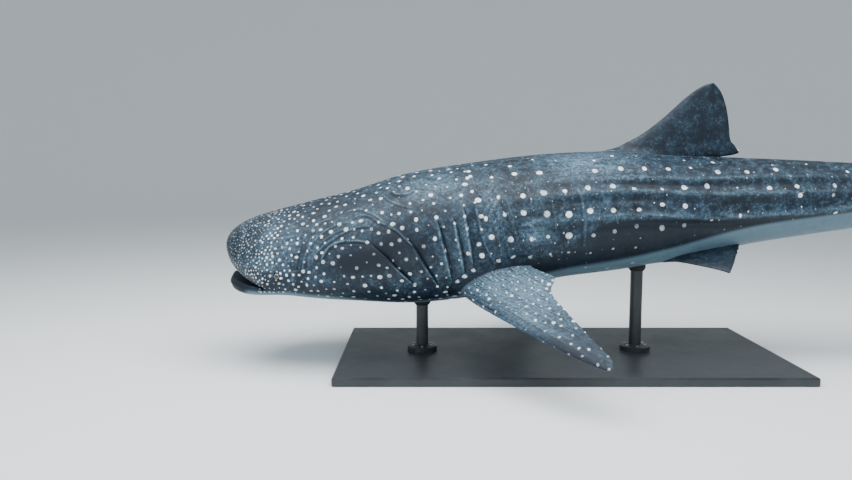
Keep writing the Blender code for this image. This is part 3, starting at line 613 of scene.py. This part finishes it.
body_normals, body_faces = vertex_normals(body_points, body_faces)
body_tree = BVHTree.FromPolygons(body_points.tolist(), body_faces)
body_seam = np.zeros(len(body_points))
fin_meshes = {}
for name, rows in fins.items():
    points = close_ends(rows)
    normals, faces = vertex_normals(points, grid_faces(*rows.shape[:2]))
    tree = BVHTree.FromPolygons(points.tolist(), faces)
    reach = 6 * FILLET
    low, high = points.min(0) - reach, points.max(0) + reach
    near = np.flatnonzero(((body_points > low) & (body_points < high)).all(1))
    body_seam[near] = np.maximum(body_seam[near], np.exp(-distance(tree, body_points[near]) / FILLET))
    seam = np.exp(-distance(body_tree, points) / FILLET)
    swell = 0.0 if name.startswith("caudal") else FLARE
    fin_meshes[name] = (points + normals * swell * seam[:, None], faces, seam)
body_points = body_points + body_normals * (FLARE * body_seam * (body_points[:, 0] < FLARE_END))[:, None]


def soften(points, edges, weight, rounds=12, most=0.008):
    """Rounds the corners where fins meet the body: each point there is drawn to its nearest neighbours."""
    edges = edges[(weight[edges] > 0.03).any(1)]
    ends, others = edges.ravel(), edges[:, ::-1].ravel()
    near = 1 / np.maximum(0.001, np.linalg.norm(points[ends] - points[others], axis=1)) ** 2
    total = np.maximum(1.0, np.bincount(ends, weights=near, minlength=len(points)))
    weight = np.clip(1.6 * weight, 0, 0.7)[:, None]
    start = points
    for _ in range(rounds):
        sums = [np.bincount(ends, near * points[others, axis], len(points)) for axis in range(3)]
        mean = np.where(weight > 0.01, np.stack(sums, -1) / total[:, None], points)
        points = points + (mean - points) * weight
    moved = points - start
    size = np.linalg.norm(moved, axis=1, keepdims=True)
    return start + moved * np.minimum(1.0, most / np.maximum(size, 1e-9))


def pose(points):
    """From the straight animal to where it swims over the stand."""
    nose_down, over_stand, axis_height, swing, swing_start = math.radians(3.5), 2.46, 1.08, 0.30, 3.9
    x, y, z = points[:, 0], points[:, 1], points[:, 2]
    run = LENGTH - swing_start
    t = np.maximum(0.0, (x - swing_start) / run)
    turn = np.arctan(-2 * swing * t / run)
    along = x - y * np.sin(turn) - over_stand
    c, s = math.cos(nose_down), math.sin(nose_down)
    aside = -swing * t**2 + y * np.cos(turn)
    return np.stack((along * c - z * s, aside, along * s + z * c + axis_height), -1)


# The markings are painted on: pale spots that grow and spread out from the snout to the trunk, where they
# stand in leaning columns between the ridges, and a pale belly. Over them go painted highlights along the
# ridge crests and painted shade on the lower flank, under the ridges and folds, in the gill slits and inside
# the mouth.
random = np.random.default_rng(7)
# Against the distance from the snout: the height under which painted shade darkens the lower flank, and how
# far down the section (0 top, 1 belly) the belly's edge lies
SHADED_FLANK_LINE = np.array((
    (0.2, -0.27), (0.45, -0.3), (0.66, -0.312), (0.88, -0.335), (1.12, -0.367), (1.42, -0.42), (1.8, -0.33),
    (2.1, -0.27), (2.38, -0.2), (2.56, -0.09), (2.8, -0.03), (3.2, -0.05), (3.6, -0.085), (4.1, -0.1),
    (5.2, -0.07), (6.02, 0.0),
))
BELLY_LINE = np.array((
    (0.0, 0.86), (0.5, 0.9), (0.74, 0.91), (1.2, 0.96), (1.8, 0.93), (2.35, 0.89), (2.75, 0.87), (3.2, 0.83),
    (3.6, 0.76), (4.2, 0.72), (5.2, 0.66), (6.02, 0.62),
))
# Clouds of painted shade, and pale clouds that are partly pale skin and partly painted light: distance from
# the snout, height, half length, half height, how strong
SHADES = (
    (1.12, -0.18, 0.25, 0.13, 1.0), (0.92, -0.21, 0.15, 0.1, 0.65), (1.28, -0.03, 0.13, 0.1, 0.75),
    (1.44, -0.16, 0.1, 0.14, 0.55), (1.29, 0.218, 0.045, 0.013, 0.8), (2.05, -0.33, 0.28, 0.1, 0.55),
    (0.08, -0.02, 0.16, 0.16, 0.65), (0.8, 0.16, 0.35, 0.09, 0.55), (2.02, -0.05, 0.05, 0.2, 0.4),
    (2.33, 0.12, 0.1, 0.16, 0.3), (1.62, 0.02, 0.1, 0.2, 0.25),
)
LIGHTS = (
    (1.05, 0.09, 0.15, 0.06, 0.55), (0.5, -0.02, 0.17, 0.09, 0.45), (1.55, 0.26, 0.25, 0.08, 0.6),
    (2.2, -0.07, 0.1, 0.09, 0.6), (2.62, 0.36, 0.28, 0.09, 0.7), (1.93, 0.1, 0.07, 0.2, 0.45),
    (0.36, -0.18, 0.16, 0.07, 0.45), (1.72, -0.1, 0.05, 0.22, 0.3), (1.6, -0.15, 0.04, 0.2, 0.2),
)
# Each row: distance from the snout, least spacing of the spots, their radius
SPACING = np.array((
    (0.0, 0.017, 0.0034), (0.25, 0.02, 0.0056), (0.45, 0.03, 0.0078), (0.65, 0.043, 0.0094),
    (0.9, 0.056, 0.011), (1.3, 0.062, 0.0115), (1.9, 0.074, 0.013),
))
# The trunk's big spots: where the first column stands, how far on the next ones are, the heights of the
# spots where the back is TRUNK_TOP high, and the radii of those on the flank and of the others
FIRST_COLUMN, COLUMN_STEP, WIDEST_STEP, TRUNK_TOP = 1.82, 0.148, 0.27, 0.43
SPOT_HEIGHTS = (0.39, 0.315, 0.18, 0.05, -0.10, -0.24, -0.37)
FLANK_SPOT, OTHER_SPOT = 0.0185, 0.0115
# How far from a spot its distance is still told
SPOT_REACH = 0.03


def cloud(x, z, middle_x, middle_z, half_x, half_z, strength):
    """A soft patch on both flanks."""
    return strength * bell(np.hypot((x - middle_x) / half_x, (z - middle_z) / half_z))


def body_zones(points, angles, inside):
    """Per point: how pale (with painted light), how dark (with painted shade) and how much belly, from its
    place on the body.
    """
    x, z = points[:, 0], points[:, 2]
    top, bottom = line(BODY_LINES, 1, x), line(BODY_LINES, 2, x)
    share = (top - z) / (top - bottom)
    pale = np.zeros(len(x))
    dark = np.zeros(len(x))
    # Ridges get a painted highlight along the crest and painted shade under it
    for ridge, strength in zip(RIDGES, (0.24, 0.32, 0.42)):
        away = from_ridge(ridge, x, angles)
        shows = np.clip(line(ridge, 2, x) / 0.014, 0, 1)
        pale += strength * shows * bell((away - 0.1) / 0.55)
        dark += 0.50 * shows * bell((away + 1.5) / 0.7)
    # Painted shade over the lower flank, below the shaded flank line
    shaded_flank_line = line(SHADED_FLANK_LINE, 1, x)
    soft = 0.035 + 0.03 * ease((1.9 - x) / 0.3)
    dark += (0.62 + 0.28 * ease((x - 2.3) / 0.4)) * ease((shaded_flank_line - z) / soft + 0.3)
    belly = ease((share - line(BELLY_LINE, 1, x)) / 0.05 + 0.5)
    for shade in SHADES:
        dark += cloud(x, z, *shade)
    for light in LIGHTS:
        pale += cloud(x, z, *light)
    # Each slit gets painted shade, and the edge of the flap before it is pale
    for slit in GILL_SLITS:
        behind = x - slit_x(slit, z)
        fade = slit_fade(slit, z)
        dark += 0.9 * fade * ease((behind + 0.001) / 0.004) * np.exp(-np.maximum(0, behind) / 0.014)
        pale += 1.1 * fade * bell((behind + 0.005) / 0.006)
    # The chin is dark, and the inside of the mouth gets painted shade, darker still towards its end
    chin = ease((0.24 - x) / 0.08) * (angles < 0) * (inside == 0)
    dark += 0.9 * chin
    dark = np.where(inside > 0, 0.75 + 0.25 * inside, dark)
    belly *= 1 - chin
    return pale, np.clip(dark, 0, 1), belly * (inside == 0)


def scatter(points, spacing, tries):
    """Spots thrown over the points at random, none nearer to another than the spacing at its place."""
    odds = spacing**-2 / (spacing**-2).sum()
    centres, gaps, count = np.empty((tries, 3)), np.empty(tries), 0
    for i in random.choice(len(points), tries, p=odds):
        gap = spacing[i] * random.uniform(0.8, 1.2)
        away = np.linalg.norm(centres[:count] - points[i], axis=1)
        if (away > (gaps[:count] + gap) / 2).all():
            centres[count], gaps[count] = points[i], gap
            count += 1
    return centres[:count]


def flank_columns(side):
    """Centres and sizes of the trunk's big spots: leaning columns, one spot in each band between ridges."""
    centres, sizes = [], []
    place, step = FIRST_COLUMN, COLUMN_STEP
    while place < 6.0:
        lean = 0.30 * max(0.0, 1 - (place - 1.8) / 0.6)
        shrink = body_top(place) / TRUNK_TOP
        for number, height in enumerate(SPOT_HEIGHTS):
            z = height * shrink + random.uniform(-0.022, 0.022)
            x = place + lean * (0.24 - z) + random.uniform(-0.015, 0.015)
            if number < 2 and place > 2.5:
                x += 0.5 * step
            if random.uniform() < (0.06 if place < 3.2 else 0.15) or (number > 4 and place > 3.0):
                continue
            if not body_top(x, 2) + 0.04 < z < body_top(x) - 0.01:
                continue
            point = shell(np.array(x), side_angle(np.array(x), np.array(z)))
            centres.append(point * (1, side, 1))
            radius = FLANK_SPOT if 1 <= number <= 4 else OTHER_SPOT
            sizes.append(radius * random.uniform(0.75, 1.2) * min(1, shrink + 0.2))
        place += step
        step = min(WIDEST_STEP, step * (1.02 if place < 3.1 else 1.08))
    return np.array(centres), np.array(sizes)


def nearest_spot(points, centres, sizes, found):
    """Lowers found to the distance from the rim of the nearest spot, negative inside it."""
    order = np.argsort(points[:, 0])
    sorted_x = points[order, 0]
    for centre, size in zip(centres, sizes):
        reach = size + SPOT_REACH
        first, last = np.searchsorted(sorted_x, (centre[0] - reach, centre[0] + reach))
        at = order[first:last]
        square = (((points[at] - centre) * random.uniform(0.8, 1.2, 3)) ** 2).sum(1)
        found[at] = np.minimum(found[at], (square - size**2) / (2 * size))
    return found


angles = np.append(body_angles.ravel(), (0.0, 0.0))
inside = np.append(mouth_depth.ravel(), (1.0, 0.0))
pale, dark, belly = body_zones(body_points, angles, inside)
lines_of_folds = np.append(fold_pale.ravel(), (0.0, 0.0))
pale = np.maximum(pale, lines_of_folds)
dark = np.clip(dark * (1 - lines_of_folds) + np.append(fold_shade.ravel(), (0.0, 0.0)), 0, 1)
spots = np.full(len(body_points), SPOT_REACH)
chin = (body_points[:, 0] < 0.30) & (angles < 0)
spotted = np.flatnonzero((inside == 0) & (body_points[:, 0] < 1.85) & (belly < 0.5) & ~chin)
centres = scatter(body_points[spotted], line(SPACING, 1, body_points[spotted, 0]), 34000)
sizes = line(SPACING, 2, centres[:, 0]) * random.uniform(0.5, 1.3, len(centres))
spots = nearest_spot(body_points, centres, sizes, spots)
for side in (1, -1):
    spots = nearest_spot(body_points, *flank_columns(side), spots)
small = np.flatnonzero((body_points[:, 0] > 1.9) & (belly < 0.3))
centres = scatter(body_points[small], 0.07 + 0.03 * ease((body_points[small, 0] - 2.4) / 0.8), 7000)
spots = nearest_spot(body_points, centres, random.uniform(0.003, 0.006, len(centres)), spots)

# The grain of streaks runs along the folds on the cheek, at these heights against the distance from the
# snout, and along the ridges on the trunk
CHEEK_GRAIN = np.array((
    (0.0, -0.25), (0.6, -0.22), (0.72, -0.12), (0.87, -0.02), (1.08, 0.05), (1.25, -0.08), (1.42, -0.25),
    (1.7, -0.3),
))
trunk_grain = from_ridge(RIDGES[1], body_points[:, 0], angles) * RIDGE_WIDTH
cheek_grain = body_points[:, 2] - line(CHEEK_GRAIN, 1, body_points[:, 0])
blend = ease((body_points[:, 0] - 1.6) / 0.5)
across = cheek_grain + (trunk_grain - cheek_grain) * blend
grain = np.stack((0.15 * body_points[:, 0], across, 0.3 * body_points[:, 1]), -1)
skin_layers = {
    "place": body_points.copy(), "grain": grain, "spots": spots, "pale": pale, "dark": dark, "belly": belly,
    "seam": body_seam,
}


def fin_zones(name, points):
    """The same layers for a fin: its place and grain, its spots, and how pale, dark and belly-like it is."""
    count = len(points)
    low, high = points.min(0), points.max(0)
    layers = {"spots": np.full(count, SPOT_REACH)}
    layers.update({layer: np.zeros(count) for layer in ("pale", "dark", "belly")})
    if name.startswith("pectoral"):
        root, tip, chord, _ = (np.array(value) for value in PECTORAL)
        side = 1 if name.endswith("left") else -1
        span = (tip - root) / np.linalg.norm(tip - root)
        chord = chord / np.linalg.norm(chord)
        across = np.cross(span, chord)
        across *= np.sign(across[2]) / np.linalg.norm(across)
        # Distances along the span, along the chord and up, on axes that aren't square to each other
        out, behind, up = ((points * (1, side, 1) - root) @ np.linalg.inv(np.array((span, chord, across)))).T
        upper = up > 0
        # Moved 9 m off, and on the other fins 7 m, so that a fin's mottling isn't that of the body beside it
        layers["place"] = np.stack((behind + 0.3 * out, out + 9, up), -1)
        layers["grain"] = np.stack((0.05 * out, 1.3 * behind, np.zeros(count)), -1)
        tipwards = ease((out + 0.5 * behind - 0.55) / 0.6)
        # The upper face pales towards the root and darkens towards the tip, and gets painted shade along its
        # front edge
        layers["pale"] = np.where(upper, 0.75 - 0.55 * tipwards, 0.0)
        layers["dark"] = np.where(upper, 0.05 + 0.45 * tipwards + 0.45 * ease((0.05 - behind) / 0.05), 0.40)
        layers["belly"] = np.where(upper, 0.0, 0.6)
        faces_up = np.flatnonzero(upper)
        centres = scatter(points[faces_up], 0.044 + 0.02 * np.clip(out[faces_up], 0, 1), 6000)
        sizes = random.uniform(0.0075, 0.0125, len(centres))
        layers["spots"] = nearest_spot(points, centres, sizes, layers["spots"])
        layers["spots"] = np.where(upper, layers["spots"], SPOT_REACH)
    else:
        layers["place"] = points + (0, 7, 0)
        layers["grain"] = points * (0.15, 1, 1)
        share = (points[:, 2] - low[2]) / (high[2] - low[2])
        layers["dark"] = 0.25 + 0.3 * ease(share / 0.5) if name.startswith("dorsal") else np.full(count, 0.45)
        if not name.startswith("pelvic"):
            centres = scatter(points, np.full(count, 0.11), 1500)
            sizes = random.uniform(0.006, 0.012, len(centres))
            layers["spots"] = nearest_spot(points, centres, sizes, layers["spots"])
        if name == "dorsal_fin_first":
            layers["spots"] += 0.02 * ease((share - 0.25) / 0.2)
    return layers


def make_object(name, points, faces, layers=None):
    """A mesh object that carries any layers of paint as attributes."""
    mesh = bpy.data.meshes.new(name)
    mesh.from_pydata(np.asarray(points).tolist(), [], faces)
    for layer, values in (layers or {}).items():
        kind, field = ("FLOAT_VECTOR", "vector") if values.ndim == 2 else ("FLOAT", "value")
        attribute = mesh.attributes.new(layer, kind, "POINT")
        attribute.data.foreach_set(field, values.astype(np.float32).ravel())
    made = bpy.data.objects.new(name, mesh)
    bpy.context.scene.collection.objects.link(made)
    return made


skin = make_object("skin", body_points, body_faces, skin_layers)
for name, (points, faces, seam) in fin_meshes.items():
    fin = make_object(name + "_form", points, faces, {**fin_zones(name, points), "seam": seam})
    union = skin.modifiers.new(name, "BOOLEAN")
    union.operation = "UNION"
    union.object = fin
    union.solver = "MANIFOLD"
    whole = bpy.data.meshes.new_from_object(skin.evaluated_get(bpy.context.evaluated_depsgraph_get()))
    skin.modifiers.clear()
    skin.data = whole
    bpy.data.objects.remove(fin)
count = len(skin.data.vertices)
points, seam = np.empty(count * 3), np.empty(count)
skin.data.vertices.foreach_get("co", points)
skin.data.attributes["seam"].data.foreach_get("value", seam)
edges = np.empty(2 * len(skin.data.edges), int)
skin.data.edges.foreach_get("vertices", edges)
points = soften(points.reshape(-1, 3), edges.reshape(-1, 2), seam)
skin.data.vertices.foreach_set("co", pose(points).ravel())
skin.data.attributes.remove(skin.data.attributes["seam"])
skin.data.polygons.foreach_set("use_smooth", np.ones(len(skin.data.polygons), bool))
skin.data.update()

# The skin's finish: satin paint over cast resin, dark blue-grey and mottled, as a wet shark looks. A fine
# grain stands for the skin's tiny teeth, half a millimetre wide in life and drawn 2.4 mm wide so that it
# shows. The scale of every pattern is how many of its features fit side by side in a metre.


def colour(text):
    """A hex sRGB colour as linear values."""
    channels = [int(text[i:i + 2], 16) / 255 for i in (1, 3, 5)]
    return (*(c / 12.92 if c <= 0.04045 else ((c + 0.055) / 1.055) ** 2.4 for c in channels), 1.0)


def feed(node, inputs):
    """Gives a node's inputs their values, or the links that bring them."""
    for name, value in inputs.items() if isinstance(inputs, dict) else enumerate(inputs):
        if isinstance(value, bpy.types.NodeSocket):
            node.id_data.links.new(value, node.inputs[name])
        else:
            node.inputs[name].default_value = value


def add(paint, kind, inputs=(), out=0, **settings):
    """Adds a node with its settings, and values or links for its inputs. Gives back one of its outputs."""
    node = paint.node_tree.nodes.new("ShaderNode" + kind)
    for name, value in settings.items():
        setattr(node, name, value)
    feed(node, inputs)
    return node.outputs[out]


def new_material(name):
    """An empty Principled material and its shader."""
    material = bpy.data.materials.new(name)
    material.use_nodes = True
    return material, material.node_tree.nodes["Principled BSDF"]


skin_paint, shader = new_material("satin_painted_resin")
# An attribute is a vector at output 1 and a number at output 2
place, grain = (add(skin_paint, "Attribute", out=1, attribute_name=name) for name in ("place", "grain"))
spot_rim, pale_and_painted_light, dark_and_painted_shade, belly_zone = (
    add(skin_paint, "Attribute", out=2, attribute_name=name) for name in ("spots", "pale", "dark", "belly")
)
upright = add(skin_paint, "VectorMath", (place, (1.0, 0.15, 0.15)), operation="MULTIPLY")
# Each: scale, detail, roughness, what it is drawn along, and the contrast it is stretched to
waves = {}
for name, scale, detail, roughness, along, gain, offset in (
    ("broad", 2.6, 4, 0.50, place, 2.4, -0.70),
    ("blotch", 14, 6, 0.68, place, 4.2, -1.80),
    ("speckle", 48, 6, 0.80, place, 6.5, -3.00),
    ("streak", 42, 4, 0.60, grain, 5.5, -2.35),
    ("bars", 8, 3, 0.50, upright, 4.5, -2.30),
    ("glow", 13, 2, 0.50, place, 2.4, -0.35),
    ("edge", 18, 3, 0.50, place, 0.5, 0.75),
):
    noise = {"Vector": along, "Scale": scale, "Detail": detail, "Roughness": roughness}
    wave = add(skin_paint, "TexNoise", noise)
    waves[name] = add(skin_paint, "Math", (wave, gain, offset), operation="MULTIPLY_ADD", use_clamp=True)
streaky = add(skin_paint, "Math", (waves["streak"], 0.50, 0.05), operation="MULTIPLY_ADD")
streaky = add(skin_paint, "Math", (waves["speckle"], 0.75, streaky), operation="MULTIPLY_ADD")
speckled = add(skin_paint, "Math", (waves["speckle"], waves["blotch"]), operation="MULTIPLY")
# The big spots have ragged rims, and are duller under painted shade and where the skin is dark
ragged = add(skin_paint, "TexNoise", {"Vector": place, "Scale": 70.0, "Detail": 3.0})
rim = add(skin_paint, "Math", (ragged, 0.010, spot_rim), operation="MULTIPLY_ADD")
spot = add(skin_paint, "Math", (rim, -230.0, 1.65), operation="MULTIPLY_ADD", use_clamp=True)
lit = add(skin_paint, "Math", (dark_and_painted_shade, -0.7, 1.0), operation="MULTIPLY_ADD")
lit = add(skin_paint, "Math", (lit, waves["glow"]), operation="MULTIPLY")
# Faint dots between them
cell = add(skin_paint, "TexVoronoi", {"Vector": place, "Scale": 30.0})
faint = add(skin_paint, "Math", (cell, -9.0, 2.0), operation="MULTIPLY_ADD", use_clamp=True)
# Coats of paint one over another, each: strength, where it goes, colour. The pale coat also carries painted
# light and the dark coat painted shade. A colour mix takes its share at input 0 and its colours at 6 and 7,
# and gives them at output 2
base = colour("#050e18")
for strength, amount, tone in (
    (1.00, waves["broad"], "#0a1d2d"),
    (0.48, waves["blotch"], "#1f3d52"),
    (0.22, waves["bars"], "#365569"),
    (0.65, speckled, "#68879a"),
    (0.16, faint, "#7f9aaa"),
    (1.00, add(skin_paint, "Math", (pale_and_painted_light, streaky), operation="MULTIPLY", use_clamp=True), "#7496ab"),
    (1.00, dark_and_painted_shade, "#051522"),
    (1.00, add(skin_paint, "Math", (belly_zone, waves["edge"]), operation="MULTIPLY"), "#5c7684"),
    (1.00, add(skin_paint, "Math", (spot, lit), operation="MULTIPLY", use_clamp=True), "#fdffff"),
):
    amount = add(skin_paint, "Math", (amount, strength), operation="MULTIPLY", use_clamp=True)
    base = add(skin_paint, "Mix", {0: amount, 6: base, 7: colour(tone)}, out=2, data_type="RGBA")
gloss = add(skin_paint, "TexNoise", {"Vector": place, "Scale": 24.0, "Detail": 3.0})
gloss = add(skin_paint, "Math", (gloss, 0.25, 0.40), operation="MULTIPLY_ADD")
teeth = add(skin_paint, "TexNoise", {"Vector": place, "Scale": 420.0, "Detail": 2.0})
creases = add(skin_paint, "TexNoise", {"Vector": grain, "Scale": 60.0, "Detail": 3.0})
relief = add(skin_paint, "Math", (teeth, 0.5, creases), operation="MULTIPLY_ADD")
bump = add(skin_paint, "Bump", {"Height": relief, "Strength": 0.35, "Distance": 0.004})
feed(shader, {"Base Color": base, "Roughness": gloss, "Normal": bump, "IOR": 1.40})
skin.data.materials.clear()
skin.data.materials.append(skin_paint)
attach(skin, "root")
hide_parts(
    "head", "lower_jaw", "gill_region", "trunk", "tail", "tail_stalk", "dorsal_fin_first",
    "dorsal_fin_second", "anal_fin", "caudal_fin_upper", "caudal_fin_lower", "pectoral_fin_left",
    "pectoral_fin_right", "pelvic_fin_left", "pelvic_fin_right",
)

# The stand: a flat steel plate and two turned rods with welded collars, powder-coated a satin dark grey. The
# coat's fine orange peel breaks up the lights, and it is a little worn and dusty in broad patches.
stand_paint, shader = new_material("powder_coated_steel")
metres = add(stand_paint, "TexCoord", out=3)
dust = {"Vector": metres, "Scale": 3.5, "Detail": 8.0, "Roughness": 0.7}
dust = add(stand_paint, "TexNoise", dust)
dust = add(stand_paint, "Math", (dust, 2.5, -1.0), operation="MULTIPLY_ADD", use_clamp=True)
coat = add(stand_paint, "Mix", {0: dust, 6: colour("#24282b"), 7: colour("#363b3f")}, out=2, data_type="RGBA")
worn = add(stand_paint, "Math", (dust, 0.16, 0.36), operation="MULTIPLY_ADD")
peel = add(stand_paint, "TexNoise", {"Vector": metres, "Scale": 250.0, "Detail": 1.0})
peel = add(stand_paint, "Bump", {"Height": peel, "Strength": 0.25, "Distance": 0.001})
feed(shader, {"Base Color": coat, "Roughness": worn, "Normal": peel})
for name in ("stand_base", "stand_rod_front", "stand_rod_rear"):
    bpy.data.objects[name].data.materials.clear()
    bpy.data.objects[name].data.materials.append(stand_paint)

# Bolts hold each collar to the plate: six hexagon heads on washers, zinc-plated steel, dull silver with a
# cloudy finish.
BOLT_RING, BOLTS, COLLAR_TOP = 0.077, 6, 0.095
# Radius and height, and the bevel at the top; a bolt's head narrows to a share of its size
WASHER, WASHER_BEVEL = (0.0145, 0.0025), 0.0005
HEAD_SIZE, HEAD_BEVEL, HEAD_TOP = (0.0110, 0.0085), 0.0015, 0.88
bolt_steel, shader = new_material("zinc_plated_steel")
metres = add(bolt_steel, "TexCoord", out=3)
cloudy = add(bolt_steel, "TexNoise", {"Vector": metres, "Scale": 160.0, "Detail": 4.0})
zinc = {0: cloudy, 6: colour("#8d9499"), 7: colour("#c4cacd")}
zinc = add(bolt_steel, "Mix", zinc, out=2, data_type="RGBA")
dull = add(bolt_steel, "Math", (cloudy, 0.25, 0.25), operation="MULTIPLY_ADD")
feed(shader, {"Base Color": zinc, "Roughness": dull, "Metallic": 1.0})


def ring_quads(rings, sides):
    """Quads between rings of points, each ring beyond the last."""
    quads = []
    for ring in range(rings - 1):
        low, high = ring * sides, (ring + 1) * sides
        for k in range(sides):
            after = (k + 1) % sides
            quads.append((low + k, low + after, high + after, high + k))
    return quads


def stack(profile, sides, middle, spin=0.0):
    """Points and faces of a closed prism whose rings follow a profile of (radius, height)."""
    turn = spin + 2 * math.pi * np.arange(sides) / sides
    x, y, z = middle
    points = [(x + r * math.cos(a), y + r * math.sin(a), z + h) for r, h in profile for a in turn]
    ends = [tuple(range(sides))[::-1], tuple(range(len(points) - sides, len(points)))]
    return points, ends + ring_quads(len(profile), sides)


for name, rod in (("front", "stand_rod_front"), ("rear", "stand_rod_rear")):
    low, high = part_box(rod)
    rod_x, rod_y = (low[0] + high[0]) / 2, (low[1] + high[1]) / 2
    points, faces = [], []
    for k in range(BOLTS):
        around = math.pi / 6 + 2 * math.pi * k / BOLTS
        middle = (rod_x + BOLT_RING * math.cos(around), rod_y + BOLT_RING * math.sin(around), COLLAR_TOP)
        radius, height = WASHER
        washer = ((radius, 0.0), (radius, height - WASHER_BEVEL), (radius - WASHER_BEVEL, height))
        size, tall = HEAD_SIZE
        head = ((size, height), (size, height + tall - HEAD_BEVEL), (HEAD_TOP * size, height + tall))
        for profile, sides in ((washer, 32), (head, 6)):
            more_points, more_faces = stack(profile, sides, middle, 0.7 * k)
            faces += [tuple(len(points) + i for i in face) for face in more_faces]
            points += more_points
    bolts = make_object("collar_bolts_" + name, points, faces)
    bolts.data.materials.append(bolt_steel)
    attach(bolts, "root")

# A rubber sleeve on top of each rod presses against the belly and hides the joint. It is matt black and a
# little dusty, so that it reads softer than the steel.
SLEEVE_RADIUS, SLEEVE_HEIGHT, SLEEVE_BULGE, SLEEVE_ROUNDING, INTO_BELLY = 0.058, 0.060, 0.006, 0.008, 0.012
rubber, shader = new_material("black_rubber")
metres = add(rubber, "TexCoord", out=3)
dusty = add(rubber, "TexNoise", {"Vector": metres, "Scale": 60.0, "Detail": 6.0})
grey = add(rubber, "Mix", {0: dusty, 6: colour("#111213"), 7: colour("#2a2b2c")}, out=2, data_type="RGBA")
feed(shader, {"Base Color": grey, "Roughness": 0.75})
for name, rod in (("front", "stand_rod_front"), ("rear", "stand_rod_rear")):
    low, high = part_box(rod)
    middle = ((low[0] + high[0]) / 2, (low[1] + high[1]) / 2, high[2] + INTO_BELLY - SLEEVE_HEIGHT)
    turns = np.linspace(0, math.pi, 13)
    profile = [(SLEEVE_RADIUS + SLEEVE_BULGE * math.sin(a) - SLEEVE_ROUNDING * abs(math.cos(a)) ** 6,
                SLEEVE_HEIGHT * a / math.pi) for a in turns]
    points, faces = stack(profile, 64, middle)
    sleeve = make_object("rubber_sleeve_" + name, points, faces)
    sleeve.data.polygons.foreach_set("use_smooth", [len(face) == 4 for face in faces])
    sleeve.data.materials.append(rubber)
    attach(sleeve, "root")

# The eyes are cast glass balls set into sockets: a round black pupil, a narrow pale iris round it and a dark
# rim, under a clear coat that gives the wet highlight.
eye_glass, shader = new_material("cast_glass_eye")
from_axis = add(eye_glass, "Attribute", out=2, attribute_name="from_axis")
metres = add(eye_glass, "TexCoord", out=3)
ring_noise = add(eye_glass, "TexNoise", {"Vector": metres, "Scale": 900.0, "Detail": 3.0})
wavy = add(eye_glass, "Math", (ring_noise, 0.06, from_axis), operation="MULTIPLY_ADD")
# Edges of the iris, as angles from the eye's axis with the noise's middle added
PUPIL_EDGE, IRIS_EDGE = 0.60, 0.86
inner = add(eye_glass, "Math", (wavy, PUPIL_EDGE), operation="GREATER_THAN")
outer = add(eye_glass, "Math", (wavy, IRIS_EDGE), operation="LESS_THAN")
iris = add(eye_glass, "Math", (inner, outer), operation="MULTIPLY")
iris_tone = {0: ring_noise, 6: colour("#54574e"), 7: colour("#8b8d80")}
iris_tone = add(eye_glass, "Mix", iris_tone, out=2, data_type="RGBA")
glass = add(eye_glass, "Mix", {0: iris, 6: colour("#060708"), 7: iris_tone}, out=2, data_type="RGBA")
feed(shader, {"Base Color": glass, "Roughness": 0.12, "IOR": 1.52})
feed(shader, {"Coat Weight": 1.0, "Coat Roughness": 0.03})
EYE_ROWS, EYE_SIDES, CORNEA = 40, 64, 0.0015
for name, side in (("left", 1), ("right", -1)):
    away = np.linspace(0, math.pi, EYE_ROWS)[1:-1, None]
    turn = 2 * math.pi * np.arange(EYE_SIDES)[None] / EYE_SIDES
    reach = EYE_RADIUS + CORNEA * bell(away / 0.6)
    rows = np.stack((reach * np.sin(away) * np.cos(turn), -side * reach * np.cos(away) + 0 * turn,
                     reach * np.sin(away) * np.sin(turn)), -1)
    centre = snout(np.array(EYE_PLACE[0] / SNOUT_END), np.array(EYE_PLACE[1])) + (0, EYE_SUNK, 0)
    points = pose(close_ends(rows) + centre * (1, side, 1))
    ends = np.append(np.repeat(away.ravel(), EYE_SIDES), (0.0, math.pi))
    _, faces = vertex_normals(points, grid_faces(*rows.shape[:2]))
    eye = make_object("glass_eye_" + name, points, faces, {"from_axis": ends})
    eye.data.polygons.foreach_set("use_smooth", np.ones(len(eye.data.polygons), bool))
    eye.data.materials.append(eye_glass)
    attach(eye, "root")
    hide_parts("eye_" + name)

# A plain pale floor that curves up into a pale wall far off, and soft studio light: a broad lamp overhead and
# a weak one ahead of the snout, on the left.
FLAT, BEND, WALL_TOP, FLOOR_SIDES = 18, 8, 16.0, 96
profile = [(r, 0.0) for r in (0.0, 4.0, 9.0, 14.0, FLAT)]
rise = np.linspace(0, math.pi / 2, 13)[1:]
profile += [(FLAT + BEND * math.sin(a), BEND - BEND * math.cos(a)) for a in rise]
profile += [(FLAT + BEND, WALL_TOP)]
turn = [2 * math.pi * k / FLOOR_SIDES for k in range(FLOOR_SIDES)]
points = [(r * math.cos(a), r * math.sin(a), z) for r, z in profile for a in turn]
faces = ring_quads(len(profile), FLOOR_SIDES)
floor = make_object("floor", points, faces)
floor.data.polygons.foreach_set("use_smooth", np.ones(len(faces), bool))
floor_paint, shader = new_material("pale_floor")
feed(shader, {"Base Color": colour("#f2f5f6"), "Roughness": 0.8})
floor.data.materials.append(floor_paint)
world = bpy.data.worlds.new("studio")
world.use_nodes = True
feed(world.node_tree.nodes["Background"], {"Color": colour("#dfe9ee"), "Strength": 0.62})
bpy.context.scene.world = world
for name, place, size, power_watts, tint in (
    ("overhead", (-0.5, -1.6, 6.0), (10, 5), 860, "#fbfdff"),
    ("side", (-5.0, -5.5, 3.4), (3, 3), 170, "#eef5ff"),
):
    lamp = bpy.data.lights.new(name, "AREA")
    lamp.shape = "RECTANGLE"
    lamp.size, lamp.size_y = size
    lamp.energy = power_watts
    lamp.color = colour(tint)[:3]
    holder = bpy.data.objects.new(name, lamp)
    holder.location = place
    holder.rotation_euler = (Vector((0, 0, 1)) - Vector(place)).to_track_quat("-Z", "Y").to_euler()
    bpy.context.scene.collection.objects.link(holder)
